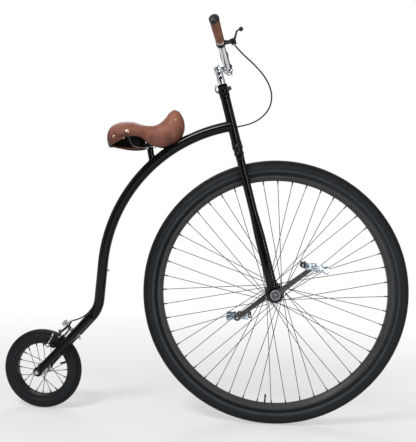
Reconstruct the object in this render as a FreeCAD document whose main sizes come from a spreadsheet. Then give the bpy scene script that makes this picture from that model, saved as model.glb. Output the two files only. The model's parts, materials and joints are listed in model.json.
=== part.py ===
import FreeCAD, Part
import math
import os

import Sketcher
from FreeCAD import Placement, Rotation, Vector

# A penny farthing bicycle.  Lengths are in millimetres and angles in degrees.
# The part's frame: +X forward, +Y to the rider's left, +Z up, origin on top of the saddle.
# "Ride" coordinates are the same axes with the origin on the ground below the front axle.

DIMENSIONS = [
    # alias, value, meaning
    ("front_radius", 455.0, "front tyre, outer radius"),
    ("front_section", 25.5, "front tyre, radius of its round section"),
    ("front_rim_outer", 412.0, "front rim, radius of its flanges"),
    ("front_rim_bed", 401.0, "front rim, radius of its bed"),
    ("front_rim_inner", 385.0, "front rim, radius of its inner wall"),
    ("front_rim_half", 19.5, "front rim, half its width"),
    ("front_spokes", 48, "front spokes, both sides"),
    ("front_cross_turn", 60.0, "front spokes, turn between hub hole and rim hole"),
    ("front_hole_ring", 30.0, "front hub, radius of the ring of spoke holes"),
    ("front_flange", 34.0, "front hub, flange radius"),
    ("front_flange_half", 24.0, "front hub, centre plane to the middle of a flange"),
    ("front_shell", 19.0, "front hub, shell radius"),
    ("front_axle", 9.0, "front axle, radius"),
    ("rear_radius", 143.5, "rear tyre, outer radius"),
    ("rear_section", 24.0, "rear tyre, radius of its round section"),
    ("rear_rim_outer", 106.0, "rear rim, radius of its flanges"),
    ("rear_rim_bed", 100.0, "rear rim, radius of its bed"),
    ("rear_rim_inner", 93.5, "rear rim, radius of its inner wall"),
    ("rear_rim_half", 18.5, "rear rim, half its width"),
    ("rear_spokes", 20, "rear spokes, both sides"),
    ("rear_cross_turn", 72.0, "rear spokes, turn between hub hole and rim hole"),
    ("rear_hole_ring", 18.0, "rear hub, radius of the ring of spoke holes"),
    ("rear_flange", 22.0, "rear hub, flange radius"),
    ("rear_flange_half", 18.5, "rear hub, centre plane to the middle of a flange"),
    ("rear_shell", 14.0, "rear hub, shell radius"),
    ("rear_axle", 5.0, "rear axle, radius"),
    ("axle_stub", 4.75, "rear axle, radius of the threaded ends outside the nuts"),
    ("axle_spacer", 8.0, "rear axle, radius of the spacers between hub and dropouts"),
    ("rear_hub_end", 10.0, "rear hub, how far its shell stands outside a flange"),
    ("flange_half_thick", 1.5, "both hubs, half the thickness of a flange"),
    ("spoke", 1.0, "spoke, radius"),
    ("nipple_side", 4.0, "centre plane to a spoke's end at the rim"),
    ("spoke_gap", 0.1, "between a spoke and the side of its flange"),
    ("elbow_run", 15.0, "spoke, straight run beside its flange"),
    ("elbow_radius", 20.0, "spoke, radius of the bend at the end of that run"),
    ("rim_wall", 1.8, "both rims, thickness of the walls"),
    ("bead_gap", 0.3, "between a tyre and its rim"),
    ("wheelbase", 827.8, "front axle to rear axle, along the ground"),
    ("head_tilt", 15.4, "steering axis, lean back from the vertical"),
    ("steer_rest", 5.2, "front wheel, turn to the left as it stands"),
    ("bar_rest", 3.6, "handlebar, turn to the left as it stands"),
    ("rake", 4.0, "front axle, distance ahead of the steering axis"),
    ("crown_low", 467.0, "axle to the underside of the fork crown, up the steering axis"),
    ("crown_high", 492.0, "axle to the top of the fork crown"),
    ("cup_low", 510.0, "axle to the underside of the lower headset cup"),
    ("head_low", 524.0, "axle to the lower end of the head tube"),
    ("head_high", 704.0, "axle to the upper end of the head tube"),
    ("collar_low", 712.0, "axle to the underside of the stem collar"),
    ("collar_high", 738.0, "axle to the top of the stem collar"),
    ("head_outer", 16.5, "head tube, outer radius"),
    ("head_bore", 14.2, "head tube, bore radius"),
    ("cup", 18.5, "headset cups, radius"),
    ("steerer", 13.0, "steerer, radius"),
    ("collar", 17.0, "stem collar, radius"),
    ("column", 12.7, "stem column, radius"),
    ("column_high", 779.0, "axle to the top of the stem column"),
    ("bar_tube", 11.1, "handlebar, tube radius"),
    ("bar_ahead", 31.0, "handlebar centre, distance ahead of the steering axis"),
    ("bar_low", 785.0, "axle to the handlebar's centre, up the steering axis"),
    ("bar_high", 888.0, "axle to the handlebar's ends, up the steering axis"),
    ("bar_sweep", 2.0, "handlebar, distance its ends stand back from its middle"),
    ("bar_flat", 30.0, "handlebar, half its level middle"),
    ("bar_half", 297.0, "handlebar, half its width"),
    ("grip", 15.0, "grip, radius"),
    ("grip_length", 126.0, "grip, length"),
    ("grip_cap", 16.3, "grip end cap, radius"),
    ("leg_half", 44.5, "centre plane to the middle of a front fork leg"),
    ("housing", 24.0, "axle bearing housing, radius"),
    ("crank_length", 162.0, "crank, between its two axes"),
    ("crank_angle", 38.8, "right crank, angle above straight ahead"),
    ("crank_inner", 58.0, "centre plane to a crank's inner face"),
    ("crank_outer", 72.0, "centre plane to a crank boss's outer face"),
    ("crank_boss", 19.0, "crank boss, radius"),
    ("crank_eye", 11.0, "crank eye, radius"),
    ("crank_flare", 9.0, "crank, how far the eye stands outside the boss"),
    ("pedal_inner", 88.0, "centre plane to a pedal's inner end"),
    ("pedal_outer", 182.0, "centre plane to a pedal's outer end"),
    ("pedal_half", 39.0, "pedal cage, half its length fore and aft"),
    ("pedal_thick", 23.0, "pedal cage, thickness"),
    ("pedal_axle", 5.0, "pedal axle, radius"),
    ("pedal_barrel", 11.0, "pedal barrel, radius"),
    ("tube", 18.4, "backbone, outer radius"),
    ("tube_wall", 2.0, "backbone, wall thickness"),
    ("tube_start_x", -163.0, "backbone's line at the steering axis, ride x"),
    ("tube_start_z", 1024.9, "backbone's line at the steering axis, ride z"),
    ("tube_start_turn", 191.73, "backbone's first direction, from straight ahead"),
    ("tube_first", 15.1, "backbone, first straight run"),
    ("arch_radius", 545.0, "backbone, radius of the great arch"),
    ("arch_turn", 73.3, "backbone, turn of the great arch"),
    ("tube_drop", 130.2, "backbone, straight run below the arch"),
    ("heel_radius", 109.5, "backbone, radius of the bend above the rear wheel"),
    ("heel_turn", 37.0, "backbone, turn of that bend"),
    ("tube_tail", 75.0, "backbone, last straight run"),
    ("stay", 13.5, "rear fork leg, radius"),
    ("stay_top_half", 30.0, "centre plane to the top of a rear fork leg"),
    ("stay_foot_half", 58.0, "centre plane to the foot of a rear fork leg"),
    ("stay_top", 272.0, "rear axle to the top of a rear fork leg"),
    ("stay_foot", 22.0, "rear axle to the foot of a rear fork leg"),
    ("stay_rise", 5.5, "rear fork leg, height of its top above the line through the axle"),
    ("stay_lean", 46.9, "rear fork, angle above straight ahead"),
    ("bridge_along", 178.0, "rear axle to the rear fork's bridge"),
    ("dropout_thick", 6.0, "dropout plate, thickness"),
    ("dropout", 17.0, "dropout plate, radius of its round end"),
    ("axle_end_half", 79.0, "centre plane to an end of the rear axle"),
    ("nut", 8.5, "rear axle nut, radius over its corners"),
    ("nut_thick", 9.0, "rear axle nut, thickness"),
    ("post", 11.0, "seat post, radius"),
    ("saddle_x", -450.0, "top of the saddle where the rider sits, ride x"),
    ("saddle_z", 1023.0, "top of the saddle where the rider sits, ride z"),
    ("leather", 4.5, "saddle leather, thickness"),
    ("rail", 3.5, "saddle rail, radius"),
    ("cable", 2.5, "brake cable housing, radius"),
    ("cable_gap", 1.2, "between the backbone and the brake cable beside it"),
    ("clip", 4.6, "cable clips, radius of their rings"),
    ("clip_length", 9.0, "cable clips, length"),
    ("fit_gap", 0.3, "clearance between pieces that nearly touch"),
    ("running_gap", 0.05, "radial clearance of a running fit"),
]

doc = FreeCAD.newDocument("penny_farthing")
sheet = doc.addObject("Spreadsheet::Sheet", "dims")
for row, (alias, value, meaning) in enumerate(DIMENSIONS, start=1):
    sheet.set(f"A{row}", meaning)
    sheet.set(f"B{row}", str(value))
    sheet.setAlias(f"B{row}", alias)
doc.recompute()

subparts = []


def size(alias):
    """A driving dimension, as a number."""
    return float(sheet.get(alias))


def value_of(expression):
    """The value of an expression over the sheet's aliases."""
    return float(sheet.evalExpression(expression))


def bind(thing, name, expression):
    """Bind a property or named constraint to an expression over the sheet's aliases."""
    words = expression
    for alias, _, _ in sorted(DIMENSIONS, key=lambda entry: -len(entry[0])):
        words = replace_word(words, alias, "dims." + alias)
    thing.setExpression(name, words)


def replace_word(text, word, other):
    """Replace a whole word that isn't part of a longer one."""
    out = ""
    place = 0
    while place < len(text):
        end = place + len(word)
        before = text[place - 1] if place else " "
        after = text[end] if end < len(text) else " "
        if text[place:end] == word and not is_name(before) and not is_name(after):
            out += other
            place = end
        else:
            out += text[place]
            place += 1
    return out


def is_name(letter):
    """Whether a letter can stand inside an alias or its full name."""
    return letter.isalnum() or letter in "_."


def keep(thing, label, placement):
    """Name a finished sub-part and put it in its place."""
    thing.Label = label
    thing.Placement = placement
    subparts.append(thing)
    return thing


# ---------------------------------------------------------------- frames

RIDE = Placement(Vector(-size("saddle_x"), 0, -size("saddle_z")), Rotation())
UP_AXIS = Vector(-math.sin(math.radians(size("head_tilt"))), 0, math.cos(math.radians(size("head_tilt"))))
AHEAD = Vector(UP_AXIS.z, 0, -UP_AXIS.x)
SIDE = Placement(Vector(), Rotation(Vector(1, 0, 0), 90))
AXIS_FOOT = Vector(0, 0, size("front_radius")) - AHEAD * size("rake")


def steered(turn):
    """A frame on the steering axis beside the front axle: +Z up the axis, +X ahead, turned left."""
    lean = Placement(Vector(), Rotation(Vector(0, 1, 0), -size("head_tilt")))
    return RIDE * Placement(AXIS_FOOT, Rotation(UP_AXIS, turn)) * lean


HEAD = steered(0)
FORK = steered(size("steer_rest"))
BARS = steered(size("bar_rest"))
# Wheel frames look at the right side of the bicycle: +X ahead, +Y up, +Z to the right.
UPRIGHT = Placement(Vector(size("rake"), 0, 0), Rotation(Vector(0, 1, 0), size("head_tilt")))
FRONT = FORK * UPRIGHT * SIDE
REAR = RIDE * Placement(Vector(-size("wheelbase"), 0, size("rear_radius")), Rotation()) * SIDE
CRANK = FRONT * Placement(Vector(), Rotation(Vector(0, 0, 1), size("crank_angle")))
# The rear fork's frame: +X up the fork, +Y square to it and up, +Z to the right.
STAY = REAR * Placement(Vector(), Rotation(Vector(0, 0, 1), size("stay_lean")))


# ---------------------------------------------------------------- ways of making shapes

def profile_sketch(body, plane, corners):
    """A closed outline on one of a body's own planes, its corners bound to the sheet."""
    sketch = body.newObject("Sketcher::SketchObject", body.Name + "_outline")
    origin_plane = [item for item in body.Origin.OriginFeatures if item.Role == plane][0]
    sketch.AttachmentSupport = [(origin_plane, "")]
    sketch.MapMode = "FlatFace"
    points = [Vector(value_of(across), value_of(up), 0) for across, up in corners]
    count = len(points)
    for index in range(count):
        sketch.addGeometry(Part.LineSegment(points[index], points[(index + 1) % count]), False)
    for index in range(count):
        sketch.addConstraint(Sketcher.Constraint("Coincident", index, 2, (index + 1) % count, 1))
    for index, (across, up) in enumerate(corners):
        ways = (("DistanceX", across, points[index].x), ("DistanceY", up, points[index].y))
        for kind, expression, place in ways:
            number = sketch.addConstraint(Sketcher.Constraint(kind, -1, 1, index, 1, place))
            name = f"{kind}_{index}"
            sketch.renameConstraint(number, name)
            bind(sketch, "Constraints." + name, expression)
    return sketch


def turned(name, corners):
    """A body turned about its Z axis from (radius, height) corners."""
    body = doc.addObject("PartDesign::Body", name)
    sketch = profile_sketch(body, "XZ_Plane", corners)
    turn = body.newObject("PartDesign::Revolution", name + "_turn")
    turn.Profile = sketch
    turn.ReferenceAxis = (sketch, ["V_Axis"])
    turn.Angle = 360
    body.Tip = turn
    return body


def padded(name, corners, thickness, midplane=True):
    """A body padded from (x, y) corners by a thickness along Z."""
    body = doc.addObject("PartDesign::Body", name)
    sketch = profile_sketch(body, "XY_Plane", corners)
    pad = body.newObject("PartDesign::Pad", name + "_pad")
    pad.Profile = sketch
    bind(pad, "Length", thickness)
    pad.Midplane = midplane
    body.Tip = pad
    return body


def cylinder(name, radius, length, placement):
    """A cylinder along the placement's Z axis."""
    rod = doc.addObject("Part::Cylinder", name)
    bind(rod, "Radius", radius)
    bind(rod, "Height", length)
    rod.Placement = placement
    return rod


def box(name, sides, placement):
    """A box centred on its placement, its three sides bound to the sheet."""
    block = doc.addObject("Part::Box", name)
    for side, expression in zip(("Length", "Width", "Height"), sides):
        bind(block, side, expression)
    half = Vector(*(value_of(expression) / 2 for expression in sides))
    block.Placement = placement * Placement(half * -1, Rotation())
    return block


def fused(name, things):
    """Several objects as one solid."""
    whole = doc.addObject("Part::MultiFuse", name)
    whole.Shapes = things
    return whole


def cut(name, base, tool):
    """One object with another taken out of it."""
    rest = doc.addObject("Part::Cut", name)
    rest.Base = base
    rest.Tool = tool
    return rest


def together(name, things):
    """Like pieces of one sub-part that don't touch."""
    group = doc.addObject("Part::Compound", name)
    group.Links = things
    return group


def coded(name, shape):
    """A shape that is worked out from the sheet in code."""
    feature = doc.addObject("Part::Feature", name)
    feature.Shape = shape
    return feature


def aim(start, end):
    """A placement at start with its Z axis towards end."""
    return Placement(start, Rotation(Vector(0, 0, 1), end - start))


def rod_between(start, end, radius):
    """A plain round rod from one point to another."""
    return Part.makeCylinder(radius, (end - start).Length, start, end - start)


def rounded_path(points, radii=None):
    """Straight runs joined by tangent arcs.  Returns the wire and the arcs' radii."""
    edges = []
    used = []
    last = points[0]
    for index in range(1, len(points) - 1):
        corner = points[index]
        back = points[index - 1] - corner
        ahead = points[index + 1] - corner
        turn = math.pi - back.getAngle(ahead)
        shorter = min(back.Length, ahead.Length)
        radius = radii[index - 1] if radii else 0.45 * shorter / math.tan(turn / 2)
        reach = radius * math.tan(turn / 2)
        back.normalize()
        ahead.normalize()
        begin = corner + back * reach
        finish = corner + ahead * reach
        bisector = back + ahead
        bisector.normalize()
        middle = corner + bisector * (radius / math.cos(turn / 2) - radius)
        edges.append(Part.LineSegment(last, begin).toShape())
        edges.append(Part.Arc(begin, middle, finish).toShape())
        used.append(radius)
        last = finish
    edges.append(Part.LineSegment(last, points[-1]).toShape())
    return Part.Wire(edges), used


def tube_along(points, radius, radii=None):
    """A round solid along a rounded path.  Returns it, its length and the arcs' radii."""
    wire, used = rounded_path(points, radii)
    direction = points[1] - points[0]
    section = Part.Wire([Part.makeCircle(radius, points[0], direction)])
    solid = wire.makePipeShell([section], True, False)
    expected = math.pi * radius * radius * wire.Length
    assert abs(solid.Volume - expected) < 0.01 * expected, "tube volume is off"
    return solid, wire.Length, used


def backbone_line():
    """The backbone's line in ride coordinates, as a list of straight and round edges."""
    edges = []
    place = Vector(size("tube_start_x"), 0, size("tube_start_z"))
    turn = math.radians(size("tube_start_turn"))
    runs = [
        # straight run, radius of the bend after it, turn of that bend
        (size("tube_first"), size("arch_radius"), size("arch_turn")),
        (size("tube_drop"), size("heel_radius"), -size("heel_turn")),
        (size("tube_tail"), 0.0, 0.0),
    ]
    for length, radius, bend in runs:
        ahead = Vector(math.cos(turn), 0, math.sin(turn))
        edges.append(Part.LineSegment(place, place + ahead * length).toShape())
        place = place + ahead * length
        if not radius:
            break
        inward = Vector(-math.sin(turn), 0, math.cos(turn)) * math.copysign(radius, bend)
        centre = place + inward
        half = Rotation(Vector(0, 1, 0), -bend / 2).multVec(inward * -1)
        full = Rotation(Vector(0, 1, 0), -bend).multVec(inward * -1)
        edges.append(Part.Arc(place, centre + half, centre + full).toShape())
        place = centre + full
        turn += math.radians(bend)
    return edges


def backbone_solid(radius):
    """A round solid of the given radius along the whole of the backbone's line."""
    edges = backbone_line()
    start, ahead = edges[0].valueAt(0), edges[0].tangentAt(0)
    section = Part.Wire([Part.makeCircle(radius, start, ahead)])
    return Part.Wire(edges).makePipeShell([section], True, False)


def beside_backbone(distance, angle, reach):
    """A point beside the backbone at a distance along it, at an angle from left towards outside."""
    for edge in backbone_line():
        if distance <= edge.Length:
            break
        distance -= edge.Length
    place = edge.getParameterByLength(min(distance, edge.Length))
    ahead = edge.tangentAt(place)
    outside = Vector(ahead.z, 0, -ahead.x)
    left = Vector(0, 1, 0)
    turn = math.radians(angle)
    return edge.valueAt(place) + left * (reach * math.cos(turn)) + outside * (reach * math.sin(turn))


# ---------------------------------------------------------------- wheels

def tyre(name, prefix, frame):
    """A round tyre whose bead sits inside the rim's flanges."""
    section = size(prefix + "_section")
    middle = size(prefix + "_radius") - section
    flange = size(prefix + "_rim_outer") + size("bead_gap")
    bed = size(prefix + "_rim_bed") + size("bead_gap")
    bead = size(prefix + "_rim_half") - size("rim_wall") - size("bead_gap")
    side = math.sqrt(section ** 2 - (middle - flange) ** 2)
    points = [
        Vector(flange, 0, side),
        Vector(flange, 0, bead),
        Vector(bed, 0, bead),
        Vector(bed, 0, -bead),
        Vector(flange, 0, -bead),
        Vector(flange, 0, -side),
    ]
    edges = [Part.LineSegment(start, end).toShape() for start, end in zip(points, points[1:])]
    crest = Vector(middle + section, 0, 0)
    edges.append(Part.Arc(points[-1], crest, points[0]).toShape())
    face = Part.Face(Part.Wire(edges))
    shape = face.revolve(Vector(), Vector(0, 0, 1), 360)
    return keep(coded(name, shape), name, frame)


def rim(name, prefix, frame):
    """A box rim with two flanges that hold the tyre's bead."""
    outer, bed = prefix + "_rim_outer", prefix + "_rim_bed"
    inner, half = prefix + "_rim_inner", prefix + "_rim_half"
    corners = [
        (outer, half),
        (outer, f"{half} - rim_wall"),
        (bed, f"{half} - rim_wall"),
        (bed, f"-({half} - rim_wall)"),
        (outer, f"-({half} - rim_wall)"),
        (outer, f"-{half}"),
        (f"{bed} - 4", f"-{half}"),
        (inner, f"-{half} * 0.55"),
        (inner, f"{half} * 0.55"),
        (f"{bed} - 4", half),
    ]
    return keep(turned(name, corners), name, frame)


def spokes(name, prefix, frame):
    """Crossed spokes: each side's leave the flange in turn forwards and backwards."""
    count = int(size(prefix + "_spokes"))
    hole = size(prefix + "_hole_ring")
    reach = size(prefix + "_rim_inner") - size("bead_gap")
    beside = size("flange_half_thick") + size("spoke") + size("spoke_gap")
    rods = []
    for index in range(count):
        side = 1 if index % 2 else -1
        lean = 1 if (index // 2) % 2 else -1
        rim_angle = math.radians(index * 360.0 / count)
        hub_angle = rim_angle + lean * math.radians(size(prefix + "_cross_turn"))
        level = side * (size(prefix + "_flange_half") + lean * beside)
        head = Vector(hole * math.cos(hub_angle), hole * math.sin(hub_angle), level)
        at_rim = side * size("nipple_side")
        nipple = Vector(reach * math.cos(rim_angle), reach * math.sin(rim_angle), at_rim)
        run = Vector(nipple.x - head.x, nipple.y - head.y, 0)
        run.normalize()
        elbow = head + run * size("elbow_run")
        rod, _, _ = tube_along([head, elbow, nipple], size("spoke"), [size("elbow_radius")])
        rods.append(rod)
    return keep(coded(name, Part.makeCompound(rods)), name, frame)


def front_hub():
    """Shell, two flanges and the axle that both cranks hold."""
    end = "crank_inner - 0.3"
    low = "front_flange_half - flange_half_thick"
    high = "front_flange_half + flange_half_thick"
    half = [
        ("front_shell", low),
        ("front_flange", low),
        ("front_flange", high),
        ("front_shell", high),
        ("front_axle + 3", f"{high} + 2.5"),
        ("front_axle", f"{high} + 2.5"),
        ("front_axle", end),
    ]
    corners = [("0", end)] + half[::-1] + [(radius, f"-({up})") for radius, up in half]
    corners.append(("0", f"-({end})"))
    keep(turned("front_hub", corners), "front_hub", FRONT)


def rear_hub():
    """Shell and two flanges, bored for the fixed axle."""
    low = "rear_flange_half - flange_half_thick"
    high = "rear_flange_half + flange_half_thick"
    bore = "rear_axle + running_gap"
    half = [
        ("rear_shell", low),
        ("rear_flange", low),
        ("rear_flange", high),
        ("rear_shell", high),
        ("rear_shell", f"{high} + rear_hub_end"),
    ]
    corners = [(bore, half[-1][1])] + half[::-1] + [(radius, f"-({up})") for radius, up in half]
    corners.append((bore, f"-({half[-1][1]})"))
    keep(turned("rear_hub", corners), "rear_hub", REAR)


def valve(name, prefix, angle, length, frame):
    """A tyre valve that points from the rim to the hub."""
    turn = Placement(Vector(), Rotation(Vector(0, 0, 1), angle))
    start = Vector(size(prefix + "_rim_inner") - size("fit_gap"), 0, 0)
    inward = Placement(start, Rotation(Vector(0, 1, 0), -90))
    stem = cylinder(name, "3.2", str(length), Placement())
    keep(stem, name, frame * turn * inward)


# ---------------------------------------------------------------- cranks and pedals

def crank(side):
    """A crank in the crank frame: boss, tapered arm and eye.  side is 1 right, -1 left."""
    tag = "right" if side > 0 else "left"
    turn = Placement(Vector(), Rotation(Vector(0, 0, 1), 0 if side > 0 else 180))
    flip = Placement(Vector(), Rotation(Vector(1, 0, 0), 0 if side > 0 else 180))
    own = turn * flip
    boss = cylinder(f"boss_{tag}", "crank_boss", "crank_outer - crank_inner",
                    own * Placement(Vector(0, 0, size("crank_inner")), Rotation()))
    arm_thick = 11.0
    flare = math.degrees(math.atan2(size("crank_flare"), size("crank_length")))
    tilt = Placement(Vector(0, 0, size("crank_inner") + 1.5), Rotation(Vector(0, 1, 0), -flare))
    arm = padded(f"arm_{tag}", [
        ("0", "-10.5"),
        ("crank_length", "-7.5"),
        ("crank_length", "7.5"),
        ("0", "10.5"),
    ], str(arm_thick), midplane=False)
    arm.Placement = own * tilt
    eye = cylinder(f"eye_{tag}", "crank_eye", "14", own * tilt * Placement(
        Vector(size("crank_length"), 0, -0.5), Rotation(Vector(0, 1, 0), flare)))
    return fused(f"crank_{tag}", [boss, arm, eye])


def pedal_axle_start():
    """Centre plane to the pedal side of a crank's eye."""
    return size("crank_inner") + 1.5 + size("crank_flare") + 14.0


def pedal_axle(side):
    """A pedal's axle, from the crank's eye to just inside the pedal's outer end."""
    tag = "right" if side > 0 else "left"
    start = Vector(side * size("crank_length"), 0, side * pedal_axle_start())
    end = Vector(side * size("crank_length"), 0, side * (size("pedal_outer") - 4))
    rod = cylinder(f"pedal_axle_{tag}", "pedal_axle", str((end - start).Length), aim(start, end))
    return rod


def pedal(tag, side, tilt, reflector_ahead):
    """A cage pedal about its axle, with one reflector on its cage.  tilt is above level."""
    centre = Vector(side * size("crank_length"), 0, 0)
    level = Placement(centre, Rotation(Vector(0, 0, 1), tilt - size("crank_angle")))
    middle = (size("pedal_inner") + size("pedal_outer")) / 2 * side
    half_length = (size("pedal_outer") - size("pedal_inner")) / 2
    barrel = cylinder(f"pedal_barrel_{tag}", "pedal_barrel", "pedal_outer - pedal_inner",
                      Placement(Vector(0, 0, middle - half_length), Rotation()))
    ends = []
    for index, out in enumerate((size("pedal_inner") + 2, size("pedal_outer") - 2)):
        ends.append(box(f"pedal_end_{tag}_{index}", ("pedal_half * 2 - 6", "pedal_thick - 5", "4"),
                        Placement(Vector(0, 0, side * out), Rotation())))
    plates = []
    for index, ahead in enumerate((-1, 1)):
        plates.append(box(f"pedal_plate_{tag}_{index}", ("3.2", "pedal_thick", "pedal_outer - pedal_inner"),
                          Placement(Vector(ahead * (size("pedal_half") - 1.6), 0, middle), Rotation())))
    solid = fused(f"pedal_solid_{tag}", [barrel] + ends + plates)
    bore = cylinder(f"pedal_bore_{tag}", "pedal_axle + running_gap", "pedal_outer - pedal_inner + 20",
                    Placement(Vector(0, 0, middle - half_length - 10), Rotation()))
    keep(cut(f"pedal_{tag}", solid, bore), f"pedal_{tag}", CRANK * level)
    step = (size("pedal_half") + 6.0 + size("fit_gap")) * reflector_ahead
    block = box(f"reflector_{tag}", ("12", "16", "62"), Placement())
    keep(block, f"reflector_{tag}", CRANK * level * Placement(
        Vector(step, 0, middle), Rotation()) * block.Placement)


# ---------------------------------------------------------------- steering column

LEG_SECTIONS = [
    # up the steering axis from the axle, ahead of the axis, half length ahead, half width across
    (466.8, 0.0, 13.8, 12.4),
    (290.0, 0.0, 13.8, 12.2),
    (205.0, 0.5, 17.5, 11.2),
    (12.0, 1.0, 17.8, 11.0),
]


def oval(centre, half_length, half_width):
    """A flat-sided outline square to the steering axis, longer ahead than across."""
    flat = half_length - half_width
    ahead, left = Vector(1, 0, 0), Vector(0, 1, 0)
    front = centre + ahead * flat
    back = centre - ahead * flat
    side = left * half_width
    return Part.Wire([
        Part.Arc(front - side, centre + ahead * half_length, front + side).toShape(),
        Part.LineSegment(front + side, back + side).toShape(),
        Part.Arc(back + side, centre - ahead * half_length, back - side).toShape(),
        Part.LineSegment(back - side, front - side).toShape(),
    ])


def fork():
    """Crown, steerer, two legs that widen towards the axle, and the two housings on the axle."""
    reach = "leg_half + 14"
    crown = padded("fork_crown", [
        ("-14", f"-({reach})"),
        ("14", f"-({reach})"),
        ("14", reach),
        ("-14", reach),
    ], "crown_high - crown_low", midplane=False)
    keep(crown, "fork_crown", FORK * Placement(Vector(0, 0, size("crown_low")), Rotation()))

    corners = [
        ("0", "0"),
        ("steerer + 1", "0"),
        ("steerer + 1", "cup_low - crown_high - 1"),
        ("steerer", "cup_low - crown_high - 1"),
        ("steerer", "collar_low - crown_high + 4"),
        ("0", "collar_low - crown_high + 4"),
    ]
    foot = Placement(Vector(0, 0, size("crown_high")), Rotation())
    keep(turned("steerer", corners), "steerer", FORK * foot)

    legs = []
    housings = []
    for tag, side in (("right", -1), ("left", 1)):
        out = side * size("leg_half")
        wires = [oval(Vector(ahead, out, up), half_length, half_width)
                 for up, ahead, half_length, half_width in LEG_SECTIONS]
        seat = Part.makeCylinder(size("housing"), 40, Vector(size("rake"), out - 20, 0), Vector(0, 1, 0))
        legs.append(Part.makeLoft(wires, True, True).cut(seat))
        housing = turned(f"housing_{tag}", [
            ("front_axle + running_gap", "-7.5"),
            ("housing", "-7.5"),
            ("housing", "7.5"),
            ("front_axle + running_gap", "7.5"),
        ])
        housing.Placement = Placement(Vector(0, 0, -out), Rotation())
        housings.append(housing)
    keep(coded("fork_legs", Part.makeCompound(legs)), "fork_legs", FORK)
    keep(together("bearing_housings", housings), "bearing_housings", FRONT)


def stem():
    """Split collar with its quick lever, column, clamp and faceplate."""
    collar = cylinder("collar_ring", "collar", "collar_high - collar_low", Placement())
    lug = box("collar_lug", ("14", "18", "12"), Placement(Vector(size("collar") + 4, 0, 7), Rotation()))
    bore = cylinder("collar_bore", "steerer + fit_gap", "8", Placement(Vector(0, 0, -2), Rotation()))
    whole = cut("stem_collar", fused("collar_solid", [collar, lug]), bore)
    keep(whole, "stem_collar", FORK * Placement(Vector(0, 0, size("collar_low")), Rotation()))

    lever, _, _ = tube_along([
        Vector(-20, 14, size("collar_low") + 4),
        Vector(-25, 4, size("collar_low") + 6),
        Vector(-26, -8, size("collar_low") + 14),
        Vector(-21, -17, size("collar_low") + 24),
    ], 3.4)
    keep(coded("stem_lever", lever), "stem_lever", FORK)

    column = cylinder("stem_column", "column", "column_high - collar_high", Placement())
    keep(column, "stem_column", FORK * Placement(Vector(0, 0, size("collar_high")), Rotation()))

    low = size("column_high")
    head = cylinder("clamp_head", "15", "24", Placement(Vector(0, 0, low), Rotation()))
    neck = box("clamp_neck", ("bar_ahead", "26", "18"),
               Placement(Vector(size("bar_ahead") / 2, 0, low + 12), Rotation()))
    across = Rotation(Vector(1, 0, 0), -90)
    seat = Vector(size("bar_ahead"), 0, size("bar_low"))
    barrel = cylinder("clamp_barrel", "bar_tube + 6", "44", Placement(seat + Vector(0, -22, 0), across))
    front_half = box("clamp_front", ("30", "60", "50"), Placement(seat + Vector(15.4, 0, 0), Rotation()))
    through = Placement(seat + Vector(0, -30, 0), across)
    hole = cylinder("clamp_hole", "bar_tube + fit_gap / 3", "60", through)
    solid = fused("clamp_solid", [head, neck, barrel])
    keep(cut("clamp_open", cut("clamp_back", solid, front_half), hole), "stem_clamp", BARS)

    beside = Placement(seat + Vector(0, -20, 0), across)
    plate_barrel = cylinder("plate_barrel", "bar_tube + 6", "40", beside)
    plate_lugs = box("plate_lugs", ("7", "40", "44"), Placement(seat + Vector(7, 0, 0), Rotation()))
    back_half = box("plate_back", ("40", "60", "60"), Placement(seat + Vector(-18.4, 0, 0), Rotation()))
    plate_hole = cylinder("plate_hole", "bar_tube + fit_gap / 3", "60", through)
    solid = fused("plate_solid", [plate_barrel, plate_lugs])
    keep(cut("plate_open", cut("plate_front", solid, back_half), plate_hole), "stem_faceplate", BARS)


def bar_point(out):
    """A point on the handlebar's line, out to the left of the middle (right when negative)."""
    flat, half = size("bar_flat"), size("bar_half")
    share = max(0.0, abs(out) - flat) / (half - flat)
    rise = size("bar_high") - size("bar_low")
    return Vector(size("bar_ahead") - size("bar_sweep") * share, out, size("bar_low") + rise * share)


def handlebar():
    """The bar, its two grips, their end caps and the brake lever."""
    flat, half = size("bar_flat"), size("bar_half")
    line = [bar_point(out) for out in (-half, -flat, flat, half)]
    bar, length, _ = tube_along(line, size("bar_tube"), [60.0, 60.0])
    keep(coded("handlebar", bar), "handlebar", BARS)

    grips = []
    caps = []
    for tag, side in (("right", -1), ("left", 1)):
        end = bar_point(side * half)
        inward = bar_point(side * flat) - end
        inward.normalize()
        start = end + inward * 0.5
        sleeve = turned(f"grip_{tag}", [
            ("bar_tube + fit_gap", "0"),
            ("grip + 0.5", "0"),
            ("grip - 0.5", "grip_length / 2"),
            ("grip - 1.5", "grip_length"),
            ("bar_tube + fit_gap", "grip_length"),
        ])
        sleeve.Placement = aim(start, start + inward)
        grips.append(sleeve)
        cap = turned(f"cap_{tag}", [
            ("0", "0.2"),
            ("grip_cap", "0.2"),
            ("grip_cap", "5"),
            ("grip_cap - 4", "9"),
            ("0", "9"),
        ])
        cap.Placement = aim(end, end - inward)
        caps.append(cap)
    keep(together("grips", grips), "grips", BARS)
    keep(together("grip_caps", caps), "grip_caps", BARS)


CABLE_LOOP = [
    # ride x, y, z from the lever to the clip beside the head tube
    (-146.3, -145.2, 1273.7),
    (-123.0, -142.5, 1247.5),
    (-83.0, -130.0, 1214.8),
    (-45.0, -109.0, 1175.0),
    (-24.0, -80.0, 1131.0),
    (-27.5, -53.0, 1090.0),
    (-50.0, -26.0, 1059.0),
    (-86.0, 1.0, 1037.0),
    (-124.0, 24.5, 1027.75),
    (-156.0, 24.5, 1021.1),
]


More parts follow.
